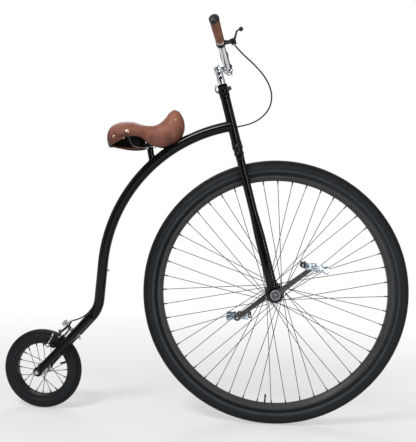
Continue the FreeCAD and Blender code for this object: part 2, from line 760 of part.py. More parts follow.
def brake_lever():
    """The lever's bracket on the bar, with the barrel that the cable leaves, and its blade."""
    seat = bar_point(-169.0)
    inward = bar_point(-100.0) - seat
    inward.normalize()
    ring = rod_between(seat - inward * 6, seat + inward * 6, size("bar_tube") + 4.0)
    pivot = Vector(71, -163, 835.4)
    arm = rod_between(seat + Vector(12, 0, 0), pivot, 7.5)
    head = Part.makeCylinder(8.5, 20, pivot + Vector(0, 0, -10), Vector(0, 0, 1))
    to_bars = BARS.inverse() * RIDE
    cable_start = to_bars.multVec(Vector(*CABLE_LOOP[0]))
    cable_next = to_bars.multVec(Vector(*CABLE_LOOP[1]))
    back = cable_start - cable_next
    back.normalize()
    barrel = rod_between(cable_start, cable_start + back * 22, 4.0)
    hole = rod_between(seat - inward * 30, seat + inward * 30, size("bar_tube") + size("fit_gap"))
    body = ring.fuse([arm, head, barrel]).cut(hole)
    keep(coded("lever_bracket", body), "lever_bracket", BARS)

    blade, _, _ = tube_along([
        Vector(73, -168, 836.4),
        Vector(84, -215, 846),
        Vector(87.5, -255, 844.4),
        Vector(94.2, -284, 841.4),
        Vector(99.5, -300, 838),
    ], 4.0)
    knob = Part.makeSphere(7.0, Vector(100.4, -304, 837.2))
    keep(coded("lever_blade", blade.fuse(knob).cut(body)), "lever_blade", BARS)


# ---------------------------------------------------------------- frame

def backbone():
    """The one bent tube that carries everything, closed by a plug at its tail."""
    outer = backbone_solid(size("tube"))
    inner = backbone_solid(size("tube") - size("tube_wall"))
    low = HEAD.Base - RIDE.Base + UP_AXIS * (size("head_low") - 10)
    tall = size("head_high") - size("head_low") + 20
    head_room = Part.makeCylinder(size("head_outer"), tall, low, UP_AXIS)
    last_run = backbone_line()[-1]
    tail = last_run.valueAt(last_run.LastParameter)
    back = last_run.tangentAt(last_run.LastParameter) * -1
    plug = Part.makeCylinder(size("tube") - size("tube_wall") + 0.01, 4, tail, back)
    shape = outer.cut(inner).fuse(plug).cut(head_room)
    keep(coded("backbone", shape.removeSplitter()), "backbone", RIDE)


def head():
    """Head tube and its two bearing cups."""
    corners = [
        ("head_bore", "head_low"),
        ("head_outer", "head_low"),
        ("head_outer", "head_high"),
        ("head_bore", "head_high"),
    ]
    keep(turned("head_tube", corners), "head_tube", HEAD)
    low_cup = turned("cup_lower", [
        ("steerer + 0.6", "cup_low"),
        ("cup", "cup_low"),
        ("cup", "cup_low + 9"),
        ("cup - 1.5", "head_low"),
        ("steerer + 0.6", "head_low"),
    ])
    high_cup = turned("cup_upper", [
        ("steerer + 0.6", "head_high"),
        ("cup - 1.5", "head_high"),
        ("cup", "head_high + 3"),
        ("cup", "collar_low - 0.5"),
        ("steerer + 0.6", "collar_low - 0.5"),
    ])
    keep(together("headset_cups", [low_cup, high_cup]), "headset_cups", HEAD)


def stay_half(along):
    """Centre plane to the middle of a rear fork leg, at a distance up the fork from the axle."""
    share = (size("stay_top") - along) / (size("stay_top") - size("stay_foot"))
    return size("stay_top_half") + (size("stay_foot_half") - size("stay_top_half")) * share


def rear_fork():
    """Two legs from the backbone's sides to the rear axle, their dropouts and a bridge."""
    spine = backbone_solid(size("tube"))
    spine.Placement = STAY.inverse() * RIDE
    thick = size("dropout_thick")
    legs = []
    plates = []
    for side in (1, -1):
        top = Vector(size("stay_top"), size("stay_rise"), side * stay_half(size("stay_top")))
        foot = Vector(size("stay_foot"), 0, side * stay_half(size("stay_foot")))
        plate_room = Part.makeBox(76, 60, thick, Vector(-30, -30, foot.z - thick / 2))
        legs.append(rod_between(foot, top, size("stay")).cut(spine).cut(plate_room))
        tag = "right" if side > 0 else "left"
        plate = padded(f"dropout_arm_{tag}", [
            ("0", "-dropout + 2"),
            ("44", "-12"),
            ("44", "12"),
            ("0", "dropout - 2"),
        ], "dropout_thick")
        end = cylinder(f"dropout_end_{tag}", "dropout", "dropout_thick",
                       Placement(Vector(0, 0, -thick / 2), Rotation()))
        through = Placement(Vector(0, 0, -10), Rotation())
        slot = cylinder(f"dropout_slot_{tag}", "rear_axle + 0.2", "20", through)
        whole = cut(f"dropout_{tag}", fused(f"dropout_solid_{tag}", [plate, end]), slot)
        whole.Placement = Placement(Vector(0, 0, foot.z), Rotation())
        plates.append(whole)
    keep(coded("rear_fork_legs", Part.makeCompound(legs)), "rear_fork_legs", STAY)
    keep(together("rear_dropouts", plates), "rear_dropouts", STAY)

    along = size("bridge_along")
    half = stay_half(along)
    bridge = Part.makeCylinder(9.0, 2 * half, Vector(along, 0, -half), Vector(0, 0, 1))
    for leg in legs:
        bridge = bridge.cut(leg)
    bolt_room = Part.makeCylinder(3.2, 40, Vector(along, -20, 0), Vector(0, 1, 0))
    keep(coded("rear_bridge", bridge.cut(bolt_room)), "rear_bridge", STAY)


def rear_axle():
    """The fixed rear axle with its two spacers, and the nuts outside the dropouts."""
    inside = "stay_foot_half - dropout_thick / 2 - fit_gap"
    hub_face = "rear_flange_half + flange_half_thick + rear_hub_end + 1"
    outside = "stay_foot_half + dropout_thick / 2 + nut_thick + fit_gap * 2"
    half = [
        ("rear_axle", hub_face),
        ("axle_spacer", hub_face),
        ("axle_spacer", inside),
        ("rear_axle", inside),
        ("rear_axle", outside),
        ("axle_stub", outside),
        ("axle_stub", "axle_end_half"),
    ]
    corners = [("0", "axle_end_half")] + half[::-1] + [(radius, f"-({up})") for radius, up in half]
    corners.append(("0", "-axle_end_half"))
    keep(turned("rear_axle", corners), "rear_axle", REAR)
    nuts = []
    for tag, side in (("right", 1), ("left", -1)):
        corners = [math.radians(turn) for turn in range(0, 360, 60)]
        hexagon = [(f"nut * {math.cos(turn):.6f}", f"nut * {math.sin(turn):.6f}") for turn in corners]
        nut = padded(f"nut_{tag}", hexagon, "nut_thick")
        through = Placement(Vector(0, 0, -10), Rotation())
        hole = cylinder(f"nut_hole_{tag}", "rear_axle + running_gap", "20", through)
        out = size("stay_foot_half") + size("dropout_thick") / 2 + size("nut_thick") / 2 + size("fit_gap")
        whole = cut(f"nut_open_{tag}", nut, hole)
        whole.Placement = Placement(Vector(0, 0, side * out), Rotation())
        nuts.append(whole)
    keep(together("rear_axle_nuts", nuts), "rear_axle_nuts", REAR)


SADDLE_SECTIONS = [
    # ride x, half width and z of the lower edge, half width and z of the shoulder, z of the top
    (-592.0, 40.0, 946.0, 46.0, 985.0, 1004.0),
    (-572.0, 62.0, 948.0, 64.0, 1000.0, 1024.0),
    (-532.0, 86.0, 970.0, 74.0, 1010.0, 1034.0),
    (-482.0, 74.0, 981.0, 60.0, 1006.0, 1026.0),
    (-432.0, 50.0, 953.0, 36.0, 1002.0, 1021.3),
    (-392.0, 40.0, 946.0, 27.0, 1022.0, 1043.0),
    (-356.0, 32.0, 957.0, 21.0, 1055.0, 1075.0),
    (-328.0, 22.0, 990.0, 13.0, 1034.0, 1046.0),
]

BASE_SECTIONS = [
    # ride x, half width and z of the top, half width and z of the bottom
    (-588.0, 46.6, 985.0, 30.0, 944.0),
    (-560.0, 64.0, 998.0, 42.0, 938.5),
    (-510.0, 67.3, 1000.0, 42.0, 937.5),
    (-472.0, 55.8, 996.0, 26.0, 945.0),
]


def leather_section(place, low_half, low, half, shoulder, top, thick):
    """One cross-section of the saddle's leather, open below."""
    inner_low, inner_half, under = low_half - thick, half - thick, shoulder - thick / 2
    return Part.Wire([
        Part.LineSegment(Vector(place, -low_half, low), Vector(place, -half, shoulder)).toShape(),
        Part.Arc(
            Vector(place, -half, shoulder),
            Vector(place, 0, top),
            Vector(place, half, shoulder),
        ).toShape(),
        Part.LineSegment(Vector(place, half, shoulder), Vector(place, low_half, low)).toShape(),
        Part.LineSegment(Vector(place, low_half, low), Vector(place, inner_low, low)).toShape(),
        Part.LineSegment(Vector(place, inner_low, low), Vector(place, inner_half, under)).toShape(),
        Part.Arc(
            Vector(place, inner_half, under),
            Vector(place, 0, top - thick),
            Vector(place, -inner_half, under),
        ).toShape(),
        Part.LineSegment(Vector(place, -inner_half, under), Vector(place, -inner_low, low)).toShape(),
        Part.LineSegment(Vector(place, -inner_low, low), Vector(place, -low_half, low)).toShape(),
    ])


def saddle():
    """Leather top over a moulded base, on two rails held by a clamp on the seat post."""
    outlines = [leather_section(*section, size("leather")) for section in SADDLE_SECTIONS]
    leather = Part.makeLoft(outlines, True, True)
    keep(coded("saddle_leather", leather), "saddle_leather", RIDE)

    outlines = []
    for place, top_half, top, low_half, low in BASE_SECTIONS:
        outlines.append(Part.makePolygon([
            Vector(place, -top_half, top),
            Vector(place, top_half, top),
            Vector(place, low_half, low),
            Vector(place, -low_half, low),
            Vector(place, -top_half, top),
        ]))
    base = Part.makeLoft(outlines, True, True).cut(leather)
    keep(coded("saddle_base", base), "saddle_base", RIDE)

    rails = []
    for side in (-1, 1):
        rail, _, _ = tube_along([
            Vector(BASE_SECTIONS[-1][0], side * 20, 957),
            Vector(-424, side * 20, 957),
            Vector(-396, side * 14, 968),
            Vector(-355, side * 8, 1065),
        ], size("rail"))
        rails.append(max(rail.cut(leather).Solids, key=lambda solid: solid.Volume))
    keep(coded("saddle_rails", Part.makeCompound(rails)), "saddle_rails", RIDE)

    clamp = Part.makeCylinder(9, 58, Vector(-449, -29, 954), Vector(0, 1, 0))
    for side in (-1, 1):
        seat = Vector(-469, side * 20, 957)
        groove = Part.makeCylinder(size("rail") + size("fit_gap"), 40, seat, Vector(1, 0, 0))
        clamp = clamp.cut(groove)
    keep(coded("saddle_clamp", clamp), "saddle_clamp", RIDE)

    foot = Vector(-436, 0, 888)
    top = Vector(-449, 0, 954)
    up = top - foot
    up.normalize()
    post = rod_between(foot, top - up * 9.2, size("post")).cut(backbone_solid(size("tube")))
    keep(coded("seat_post", post), "seat_post", RIDE)


def step():
    """A tread on the left of the backbone, for mounting."""
    plate = padded("step_plate", [
        ("-12", "0"),
        ("-16", "7"),
        ("-11", "52"),
        ("11", "52"),
        ("16", "7"),
        ("12", "0"),
    ], "4")
    plate.Placement = Placement(Vector(0, 0, 12), Rotation())
    gusset = padded("step_gusset", [
        ("0", "-16"),
        ("0", "12"),
        ("46", "12"),
    ], "4")
    gusset.Placement = Placement(Vector(), Rotation(Vector(0, 0, 1), 90) * Rotation(Vector(1, 0, 0), 90))
    place = Placement(Vector(-612.5, size("tube") - 1.0, 492), Rotation())
    spine = coded("step_room", backbone_solid(size("tube")))
    spine.Placement = place.inverse()
    whole = cut("mounting_step", fused("step_solid", [plate, gusset]), spine)
    keep(whole, "mounting_step", RIDE * place)


# ---------------------------------------------------------------- brake

CABLE_TAIL = [
    # up the rear fork from the axle, above the fork's line, to the right of the centre plane
    (244.0, 25.5, -11.5),
    (221.0, 34.0, -8.0),
    (205.0, 43.5, -4.0),
    (195.6, 50.5, 0.0),
]


def rear_brake():
    """A long-reach caliper on the bridge, its cable anchor and its two shoes."""
    along = size("bridge_along")
    up = Rotation(Vector(1, 0, 0), -90)
    shank = cylinder("brake_shank", "3.0", "76", Placement(Vector(along, -24, 0), up))
    nut = cylinder("brake_nut", "6.5", "6", Placement(Vector(along, -18, 0), up))
    sleeve = cylinder("brake_sleeve", "8", "18", Placement(Vector(along, 9.5, 0), up))
    keep(fused("brake_bolt", [shank, nut, sleeve]), "brake_bolt", STAY)

    pad = Vector(88, 42, size("rear_rim_half") + 9.7)
    shoes = []
    for tag, side, level in (("left", -1, 33.0), ("right", 1, 42.5)):
        arm, _, _ = tube_along([
            Vector(190, level + 6, -side * 22),
            Vector(along, level, 0),
            Vector(160, level, side * 26),
            Vector(132, level, side * 40),
            Vector(pad.x, pad.y, side * 38),
        ], 3.4)
        hub = Part.makeCylinder(7.0, 6.8, Vector(along, level - 3.4, 0), Vector(0, 1, 0))
        hole = Part.makeCylinder(3.1, 40, Vector(along, level - 20, 0), Vector(0, 1, 0))
        stud = rod_between(
            Vector(pad.x, pad.y, side * (pad.z + 4.5)),
            Vector(pad.x, pad.y, side * 44),
            3.0,
        )
        keep(coded(f"brake_arm_{tag}", arm.fuse([hub, stud]).cut(hole)), f"brake_arm_{tag}", STAY)
        shoe = Part.makeBox(46, 11, 9, Vector(-23, -5.5, -4.5))
        turn = math.degrees(math.atan2(pad.y, pad.x)) + 90
        shoe.Placement = Placement(Vector(pad.x, pad.y, side * pad.z), Rotation(Vector(0, 0, 1), turn))
        shoes.append(shoe)
    keep(coded("brake_pads", Part.makeCompound(shoes)), "brake_pads", STAY)

    near, end = Vector(*CABLE_TAIL[-2]), Vector(*CABLE_TAIL[-1])
    onward = end - near
    onward.normalize()
    barrel = rod_between(end, end + onward * 12, 4.5)
    block = Part.makeBox(22, 12, 16, Vector(168, 52, -8))
    keep(coded("brake_anchor", barrel.fuse(block)), "brake_anchor", STAY)


CABLE_STATIONS = [
    # along the backbone from the steering axis, angle from its left side towards its outside
    (54.0, -11.0),
    (110.0, -5.0),
    (167.0, 0.0),
    (225.0, 0.0),
    (283.0, 0.0),
    (341.0, 0.0),
    (399.0, 0.0),
    (457.0, 0.0),
    (515.0, 2.0),
    (573.0, 7.0),
    (631.0, 15.0),
    (689.0, 27.0),
    (741.0, 42.0),
    (790.0, 50.0),
    (836.0, 51.0),
    (876.0, 53.0),
    (908.0, 58.0),
]

# The straight lead of the cable beyond the head, and the runs of its route that hold a clip.
CABLE_LEAD = 32.0
CLIPPED_RUNS = (0, 4, 7, 10, 14)


def clip_ring(start, end):
    """A round clip about the middle of a straight run of the brake cable."""
    middle = (start + end) * 0.5
    along = end - start
    along.normalize()
    low = middle - along * (size("clip_length") / 2)
    ring = Part.makeCylinder(size("clip"), size("clip_length"), low, along)
    hole = Part.makeCylinder(size("cable") + 2 * size("running_gap"), size("clip_length"), low, along)
    return ring.cut(hole)


def brake_cable():
    """The free loop in front of the head, the run along the backbone's left side, and its clips."""
    loop = [Vector(*point) for point in CABLE_LOOP]
    solid, length, radii = tube_along(loop, size("cable"))
    print("brake cable loop", round(length), "mm, radii", [round(radius) for radius in radii])
    keep(coded("brake_cable_loop", solid), "brake_cable_loop", RIDE)

    reach = size("tube") + size("cable") + size("cable_gap")
    first = loop[-1]
    onward = first - loop[-2]
    onward.normalize()
    to_ride = RIDE.inverse() * STAY
    route = [first, first + onward * CABLE_LEAD]
    route += [beside_backbone(distance, angle, reach) for distance, angle in CABLE_STATIONS]
    route += [to_ride.multVec(Vector(*point)) for point in CABLE_TAIL]
    solid, length, radii = tube_along(route, size("cable"))
    print("brake cable", round(length), "mm, radii", [round(radius) for radius in radii])
    keep(coded("brake_cable", solid), "brake_cable", RIDE)

    spine = backbone_solid(size("tube"))
    rings = [clip_ring(route[index], route[index + 1]).cut(spine) for index in CLIPPED_RUNS]
    keep(coded("cable_clips", Part.makeCompound(rings)), "cable_clips", RIDE)


# ---------------------------------------------------------------- build

tyre("front_tyre", "front", FRONT)
rim("front_rim", "front", FRONT)
spokes("front_spokes", "front", FRONT)
front_hub()
valve("front_valve", "front", -93.4, 30, FRONT)
tyre("rear_tyre", "rear", REAR)
rim("rear_rim", "rear", REAR)
spokes("rear_spokes", "rear", REAR)
rear_hub()
valve("rear_valve", "rear", 18.6, 26, REAR)
keep(together("cranks", [crank(1), crank(-1)]), "cranks", CRANK)
keep(together("pedal_axles", [pedal_axle(1), pedal_axle(-1)]), "pedal_axles", CRANK)
pedal("right", 1, -12.0, -1)
pedal("left", -1, 5.0, 1)
fork()
stem()
handlebar()
brake_lever()
backbone()
head()
rear_fork()
rear_axle()
saddle()
step()
rear_brake()
brake_cable()

doc.recompute()
for item in doc.Objects:
    assert "Invalid" not in item.State and "Error" not in item.State, item.Name
for item in subparts:
    assert not item.Shape.isNull() and item.Shape.isValid(), item.Label
os.makedirs("parts", exist_ok=True)
for item in subparts:
    item.Shape.exportStep(f"parts/{item.Label}.step")
print(len(subparts), "sub-parts")
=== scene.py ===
"""Looks of a penny farthing bicycle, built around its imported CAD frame.

Each sub-assembly keeps its sizes in millimetres and degrees, in the frame of
the part that carries it, and its pieces are made in metres.  The row frame has
+X forward, +Y to the rider's left and +Z up, with its origin on top of the
saddle.  Ride coordinates are the same with the origin below the front axle.
"""

import json
import logging
import math
from dataclasses import dataclass
from enum import Enum
from functools import cache

import bmesh
import bpy
from mathutils import Matrix, Vector
from mathutils.bvhtree import BVHTree

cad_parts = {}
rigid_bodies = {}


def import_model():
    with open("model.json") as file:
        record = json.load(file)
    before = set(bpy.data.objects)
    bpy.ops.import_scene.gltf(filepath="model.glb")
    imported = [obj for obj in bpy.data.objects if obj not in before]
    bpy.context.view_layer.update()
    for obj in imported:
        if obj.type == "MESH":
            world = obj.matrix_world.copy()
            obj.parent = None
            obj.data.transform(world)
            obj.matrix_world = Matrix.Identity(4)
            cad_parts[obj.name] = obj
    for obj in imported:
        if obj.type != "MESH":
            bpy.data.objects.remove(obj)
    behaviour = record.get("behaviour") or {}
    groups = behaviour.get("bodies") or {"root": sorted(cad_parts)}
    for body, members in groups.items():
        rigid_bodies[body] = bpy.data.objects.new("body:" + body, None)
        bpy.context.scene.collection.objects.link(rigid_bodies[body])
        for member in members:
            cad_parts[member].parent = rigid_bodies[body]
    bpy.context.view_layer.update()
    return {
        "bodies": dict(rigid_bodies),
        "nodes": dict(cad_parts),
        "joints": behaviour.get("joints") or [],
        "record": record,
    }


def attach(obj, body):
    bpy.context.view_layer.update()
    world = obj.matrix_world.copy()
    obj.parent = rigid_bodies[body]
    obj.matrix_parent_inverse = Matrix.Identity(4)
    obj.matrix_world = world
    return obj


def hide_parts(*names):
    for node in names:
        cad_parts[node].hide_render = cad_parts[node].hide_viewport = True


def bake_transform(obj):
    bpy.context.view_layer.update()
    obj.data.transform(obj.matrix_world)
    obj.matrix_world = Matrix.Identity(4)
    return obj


LOG = logging.getLogger("penny_farthing")

Point = tuple[float, float, float]
Pair = tuple[float, float]
Outline = list[Pair]
Socket = bpy.types.NodeSocket

MM = 0.001
GROUND_Z = -1.023
SIDES = (-1, 1)
UP = Vector((0, 0, 1))


class Body(Enum):
    """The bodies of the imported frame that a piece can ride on."""

    FRAME = "frame"
    FORK = "fork"
    FRONT_WHEEL = "front_wheel"
    REAR_WHEEL = "rear_wheel"
    PEDAL_RIGHT = "pedal_right"
    PEDAL_LEFT = "pedal_left"


class Side(Enum):
    """The rider's two sides, as the sign of a wheel frame's own Z axis."""

    RIGHT = 1
    LEFT = -1


# ---------------- node trees


class Graph:
    """A node tree of a material or a world, built one node at a time."""

    def __init__(self, owner: "bpy.types.Material | bpy.types.World", shader: str = "BsdfPrincipled") -> None:
        """Start a tree with its last shader and an output.

        Args:
            owner: What the tree belongs to.
            shader: The shader's type.
        """
        self.owner = owner
        owner.use_nodes = True
        self.nodes, self.links = owner.node_tree.nodes, owner.node_tree.links
        self.nodes.clear()
        self.shader = self.nodes.new(f"ShaderNode{shader}")
        output = self.nodes.new(f"ShaderNodeOutput{type(owner).__name__}")
        self.links.new(self.shader.outputs[0], output.inputs["Surface"])
        self.coords = self.nodes.new("ShaderNodeTexCoord").outputs

    def put(self, target: Socket, value: "Socket | float | Point") -> None:
        """Give an input its value.

        Args:
            target: The input.
            value: A plain value, or the output that it is linked to.
        """
        if isinstance(value, Socket):
            self.links.new(value, target)
        else:
            target.default_value = value

    def add(self, kind: str, inputs: "dict[str | int, Socket | float | Point]", result: "str | int" = 0,
            **settings: str) -> Socket:
        """Add a node.

        Args:
            kind: Its type.
            inputs: What goes into its inputs.
            result: The output that is wanted.
            settings: Its settings.

        Returns:
            The output.
        """
        node = self.nodes.new(f"ShaderNode{kind}")
        for name, value in settings.items():
            setattr(node, name, value)
        for name, value in inputs.items():
            self.put(node.inputs[name], value)
        return node.outputs[result]

    def maths(self, operation: str, *values: "Socket | float") -> Socket:
        """One sum on outputs or numbers."""
        return self.add("Math", dict(enumerate(values)), operation=operation)

    def axis(self, name: str) -> Socket:
        """One of the object's own coordinates."""
        return self.add("SeparateXYZ", {0: self.coords["Object"]}, name)

    def radius(self) -> Socket:
        """The distance from the object's own Z axis."""
        squares = [self.maths("MULTIPLY", self.axis(name), self.axis(name)) for name in "XY"]
        return self.maths("SQRT", self.maths("ADD", *squares))

    def noise(self, scale: float, detail: float, stretch: Point = (1, 1, 1),
              where: "Socket | None" = None) -> Socket:
        """Soft noise, on the object's own coordinates or on others."""
        place = self.add("Mapping", {"Vector": where or self.coords["Object"], "Scale": stretch})
        return self.add("TexNoise", {"Vector": place, "Scale": scale, "Detail": detail}, "Fac")

    def ramp(self, source: Socket, *stops: tuple[float, Point]) -> Socket:
        """A factor turned into colours.

        Args:
            source: The factor.
            stops: Places from 0 to 1 with their colours.

        Returns:
            The colour.
        """
        colour = self.add("ValToRGB", {"Fac": source})
        elements = colour.node.color_ramp.elements
        while len(elements) < len(stops):
            elements.new(0.5)
        for element, (place, shown) in zip(elements, stops):
            element.position, element.color = place, (*shown, 1)
        return colour

    def between(self, source: Socket, low: float, high: float, start: float = 0, end: float = 1,
                **settings: str) -> Socket:
        """A factor moved from the range between start and end to the one between low and high."""
        return self.add("MapRange", {"Value": source, "From Min": start, "From Max": end, "To Min": low,
                                     "To Max": high}, **settings)

    def multiply(self, first: Socket, second: Socket) -> Socket:
        """Two colours multiplied."""
        return self.add("Mix", {0: 1, 6: first, 7: second}, 2, data_type="RGBA", blend_type="MULTIPLY")

    def bump(self, height: Socket, depth: float, strength: float = 1) -> None:
        """Bump the shader's surface, on top of any earlier bump.

        Args:
            height: The height factor.
            depth: The relief in metres.
            strength: How much of it shows.
        """
        normal = self.shader.inputs["Normal"]
        inputs = {"Height": height, "Distance": depth, "Strength": strength}
        if normal.is_linked:
            inputs["Normal"] = normal.links[0].from_socket
        self.put(normal, self.add("Bump", inputs))

    def set(self, **values: "Socket | float") -> None:
        """Set the shader's inputs; underscores stand for spaces in their names."""
        for name, value in values.items():
            self.put(self.shader.inputs[name.replace("_", " ")], value)


# ---------------- finishes


def shade(colour: Point, factor: float) -> Point:
    """A colour made lighter or darker, up to white."""
    return tuple(min(1, channel * factor) for channel in colour)


def grey(level: float) -> Point:
    """A plain grey."""
    return level, level, level


@dataclass(frozen=True)
class Moulding:
    """Moulded plastic or anodised metal, whose colour, gloss and relief each follow soft noise."""

    name: str
    colour: Point
    roughness: float = 0.34
    specular: float = 0.25
    metallic: float = 0
    coat: float = 0
    stretch: Point = (1, 1, 1)
    # Features per metre and detail, with the colour's factors at places along the noise.
    mottle: Pair = (30, 3)
    tones: tuple[Pair, ...] = ((0.3, 0.85), (0.7, 1.15))
    # Features per metre and detail, with the roughness's least and greatest factor.
    gloss: tuple[float, ...] = (300, 2, 0.9, 1.15)
    # Features per metre and detail, with the depth in metres and the strength.
    relief: tuple[float, ...] = (1800, 2, 0.00003, 1)

    def tint(self, graph: Graph, colour: Socket) -> Socket:
        """The colour with what the finish adds to it."""
        return colour

    def material(self) -> bpy.types.Material:
        """Build the material."""
        graph = Graph(bpy.data.materials.new(self.name))
        scale, detail, low, high = self.gloss
        colour = graph.ramp(graph.noise(*self.mottle, self.stretch),
                            *((place, shade(self.colour, factor)) for place, factor in self.tones))
        graph.set(Base_Color=self.tint(graph, colour), Metallic=self.metallic,
                  Specular_IOR_Level=self.specular,
                  Coat_Weight=self.coat, Coat_Roughness=0.04,
                  Roughness=graph.between(graph.noise(scale, detail, self.stretch), self.roughness * low,
                                          self.roughness * high))
        scale, detail, depth, strength = self.relief
        graph.bump(graph.noise(scale, detail, self.stretch), depth, strength)
        return graph.owner


@dataclass(frozen=True)
class EdgedMoulding(Moulding):
    """An anodised rim with painted shade from one radius outwards, where the tyre shades its edge."""

    # The radius in metres where the painted shade begins.
    edge: float = 0.4025

    def tint(self, graph: Graph, colour: Socket) -> Socket:
        """The colour with the painted shade at the edge."""
        # Painted shade: the rim goes dark beyond the edge radius.
        shade_band = graph.between(graph.radius(), 0, 1, self.edge - 0.001, self.edge + 0.001)
        return graph.multiply(colour, graph.ramp(shade_band, (0, grey(1)), (1, grey(0.06))))


@dataclass(frozen=True)
class GlossPaint(Moulding):
    """Black stoving paint with a faint orange peel and thin dust on it."""

    specular: float = 0.16
    mottle: Pair = (9, 4)
    tones: tuple[Pair, ...] = ((0.35, 0.75), (0.65, 1.35))
    gloss: tuple[float, ...] = (45, 5, 0.75, 1.35)
    relief: tuple[float, ...] = (420, 2, 0.00001, 1)


@dataclass(frozen=True)
class PolishedMetal(Moulding):
    """Bare or plated metal with fine marks along one axis."""

    specular: float = 0.5
    metallic: float = 1
    stretch: Point = (4, 1, 4)
    mottle: Pair = (60, 4)
    tones: tuple[Pair, ...] = ((0.3, 0.82), (0.7, 1))
    gloss: tuple[float, ...] = (240, 4, 0.6, 1.5)
    relief: tuple[float, ...] = (900, 2, 0.00001, 1)


@dataclass(frozen=True)
class Rubber(Moulding):
    """Moulded rubber with a fine grain."""

    specular: float = 0.5
    mottle: Pair = (14, 5)
    tones: tuple[Pair, ...] = ((0.3, 0.75), (0.7, 1.35))
    gloss: tuple[float, ...] = (90, 3, 0.85, 1.2)
    relief: tuple[float, ...] = (1500, 2, 0.00005, 1)


@dataclass(frozen=True)
class TyreRubber(Rubber):
    """Tyre rubber: sipes across the tread, fine ribs on the walls and a little bloom."""

    colour: Point = (0.0088, 0.0101, 0.0120)
    roughness: float = 0.46
    specular: float = 0.17
    tones: tuple[Pair, ...] = ((0.3, 0.8), (0.7, 1.25))
    middle: float = 0.4295
    sipes: int = 132
    tread: float = 0.98
    # How much paler the wall is than the tread.
    wall: float = 3.4

    def tint(self, graph: Graph, colour: Socket) -> Socket:
        """The colour lighter at the crest, dark beside it, pale on the wall and with painted shade at the
        bead, where the tyre meets the rim; bumps the tread and the wall.

        Args:
            graph: The material's nodes.
            colour: The colour before the bands and the painted shade.

        Returns:
            The banded colour with its painted shade.
        """
        bearing = graph.maths("ARCTAN2", graph.axis("Y"), graph.axis("X"))
        outwards = graph.maths("SUBTRACT", graph.radius(), self.middle)
        fan = graph.maths("ABSOLUTE", graph.maths("ARCTAN2", graph.axis("Z"), outwards))
        on_tread = graph.between(fan, 1, 0, self.tread - 0.03, self.tread + 0.03)
        slant = graph.maths("MULTIPLY", graph.maths("PINGPONG", graph.maths("MULTIPLY", fan, 3.8), 1), 0.9)
        turns = graph.maths("MULTIPLY", bearing, self.sipes / (2 * math.pi))
        cut = graph.maths("PINGPONG", graph.maths("ADD", turns, slant), 0.5)
        ribs = graph.maths("PINGPONG", graph.maths("MULTIPLY", fan, 34), 1)
        graph.bump(graph.maths("MULTIPLY", graph.between(cut, 0, 1, 0.06, 0.16), on_tread), 0.0009)
        graph.bump(graph.maths("MULTIPLY", graph.maths("SUBTRACT", 1, on_tread), ribs), 0.00022)
        pale = (self.wall * 0.94, self.wall * 1.07, self.wall * 1.12)
        # Painted shade: the last two stops darken the bead, where the tyre meets the rim.
        bands_and_bead_shade = graph.ramp(
            graph.between(fan, 0, 1, 0, 2.4), (0, grey(1.2)), (0.24, grey(0.6)), (0.265, shade(pale, 0.8)),
            (0.3, shade(pale, 0.8)), (0.325, grey(0.35)), (0.42, grey(0.5)), (0.56, shade(pale, 0.5)),
            (0.74, shade(pale, 0.75)), (0.82, pale), (0.915, pale), (0.935, grey(0.15)), (1, grey(0.1)))
        return graph.multiply(colour, bands_and_bead_shade)


@dataclass(frozen=True)
class Leather(Moulding):
    """Waxed leather with pores and soft creases."""

    roughness: float = 0.46
    specular: float = 0.22
    mottle: Pair = (26, 6)
    tones: tuple[Pair, ...] = ((0.28, 0.55), (0.5, 1), (0.74, 1.34))
    gloss: tuple[float, ...] = (70, 4, 0.8, 1.3)
    relief: tuple[float, ...] = (110, 3, 0.0003, 0.35)
    pores: float = 900

    def tint(self, graph: Graph, colour: Socket) -> Socket:
        """The colour as it is; bumps the pores."""
        pores = graph.add("TexVoronoi", {"Vector": graph.coords["Object"], "Scale": self.pores})
        graph.bump(pores, 0.00008, 0.4)
        return colour


@dataclass(frozen=True)
class BurnishedLeather(Leather):
    """Leather that is darker towards its lower edge."""

    def tint(self, graph: Graph, colour: Socket) -> Socket:
        """The colour, darker towards the lower edge."""
        inwards = graph.add("Attribute", {}, "Fac", attribute_name="from_edge")
        edge = graph.ramp(inwards, (0, (0.34, 0.30, 0.28)), (0.12, (0.62, 0.58, 0.56)), (0.3, grey(1)))
        return graph.multiply(super().tint(graph, colour), edge)


@dataclass(frozen=True)
class TurnedMetal:
    """Metal with the fine rings of a lathe round its Z axis."""

    name: str
    colour: Point = (0.62, 0.65, 0.69)
    middle: Point = (0.62, 0.65, 0.69)
    edge: float = 0
    roughness: float = 0.2

    def material(self) -> bpy.types.Material:
        """Build the material."""
        graph = Graph(bpy.data.materials.new(self.name))
        rings = graph.noise(1500, 2, where=graph.add("CombineXYZ", {0: graph.radius(), 2: graph.axis("Z")}))
        step = graph.between(graph.radius(), 0, 1, self.edge - 0.0003, self.edge + 0.0003)
        plain = graph.ramp(step, (0, self.middle), (1, self.colour))
        graph.set(Base_Color=graph.multiply(plain, graph.ramp(rings, (0.3, grey(0.78)), (0.7, grey(1)))),
                  Roughness=graph.between(rings, self.roughness * 0.7, self.roughness * 1.4), Metallic=1)
        graph.bump(rings, 0.00003, 0.5)
        return graph.owner


@dataclass(frozen=True)
class PrismLens:
    """A pale reflector lens with rows of small prisms behind its face."""

    name: str
    colour: Point = (0.72, 0.72, 0.68)
    prism: float = 420

    def material(self) -> bpy.types.Material:
        """Build the material."""
        graph = Graph(bpy.data.materials.new(self.name))
        rows, columns = (graph.maths("PINGPONG", graph.maths("MULTIPLY", graph.axis(name), self.prism), 1)
                         for name in "YZ")
        facets = graph.maths("MINIMUM", rows, columns)
        graph.set(Base_Color=graph.ramp(facets, (0, shade(self.colour, 0.5)), (0.35, self.colour),
                                        (1, shade(self.colour, 1.15))),
                  Roughness=graph.between(graph.noise(200, 2), 0.1, 0.2), Coat_Weight=1, Coat_Roughness=0.05)
        graph.bump(facets, 0.0004, 0.6)
        return graph.owner


ANODISED = (1200, 2, 0.00003, 1)
CAST = (0.00002, 1)


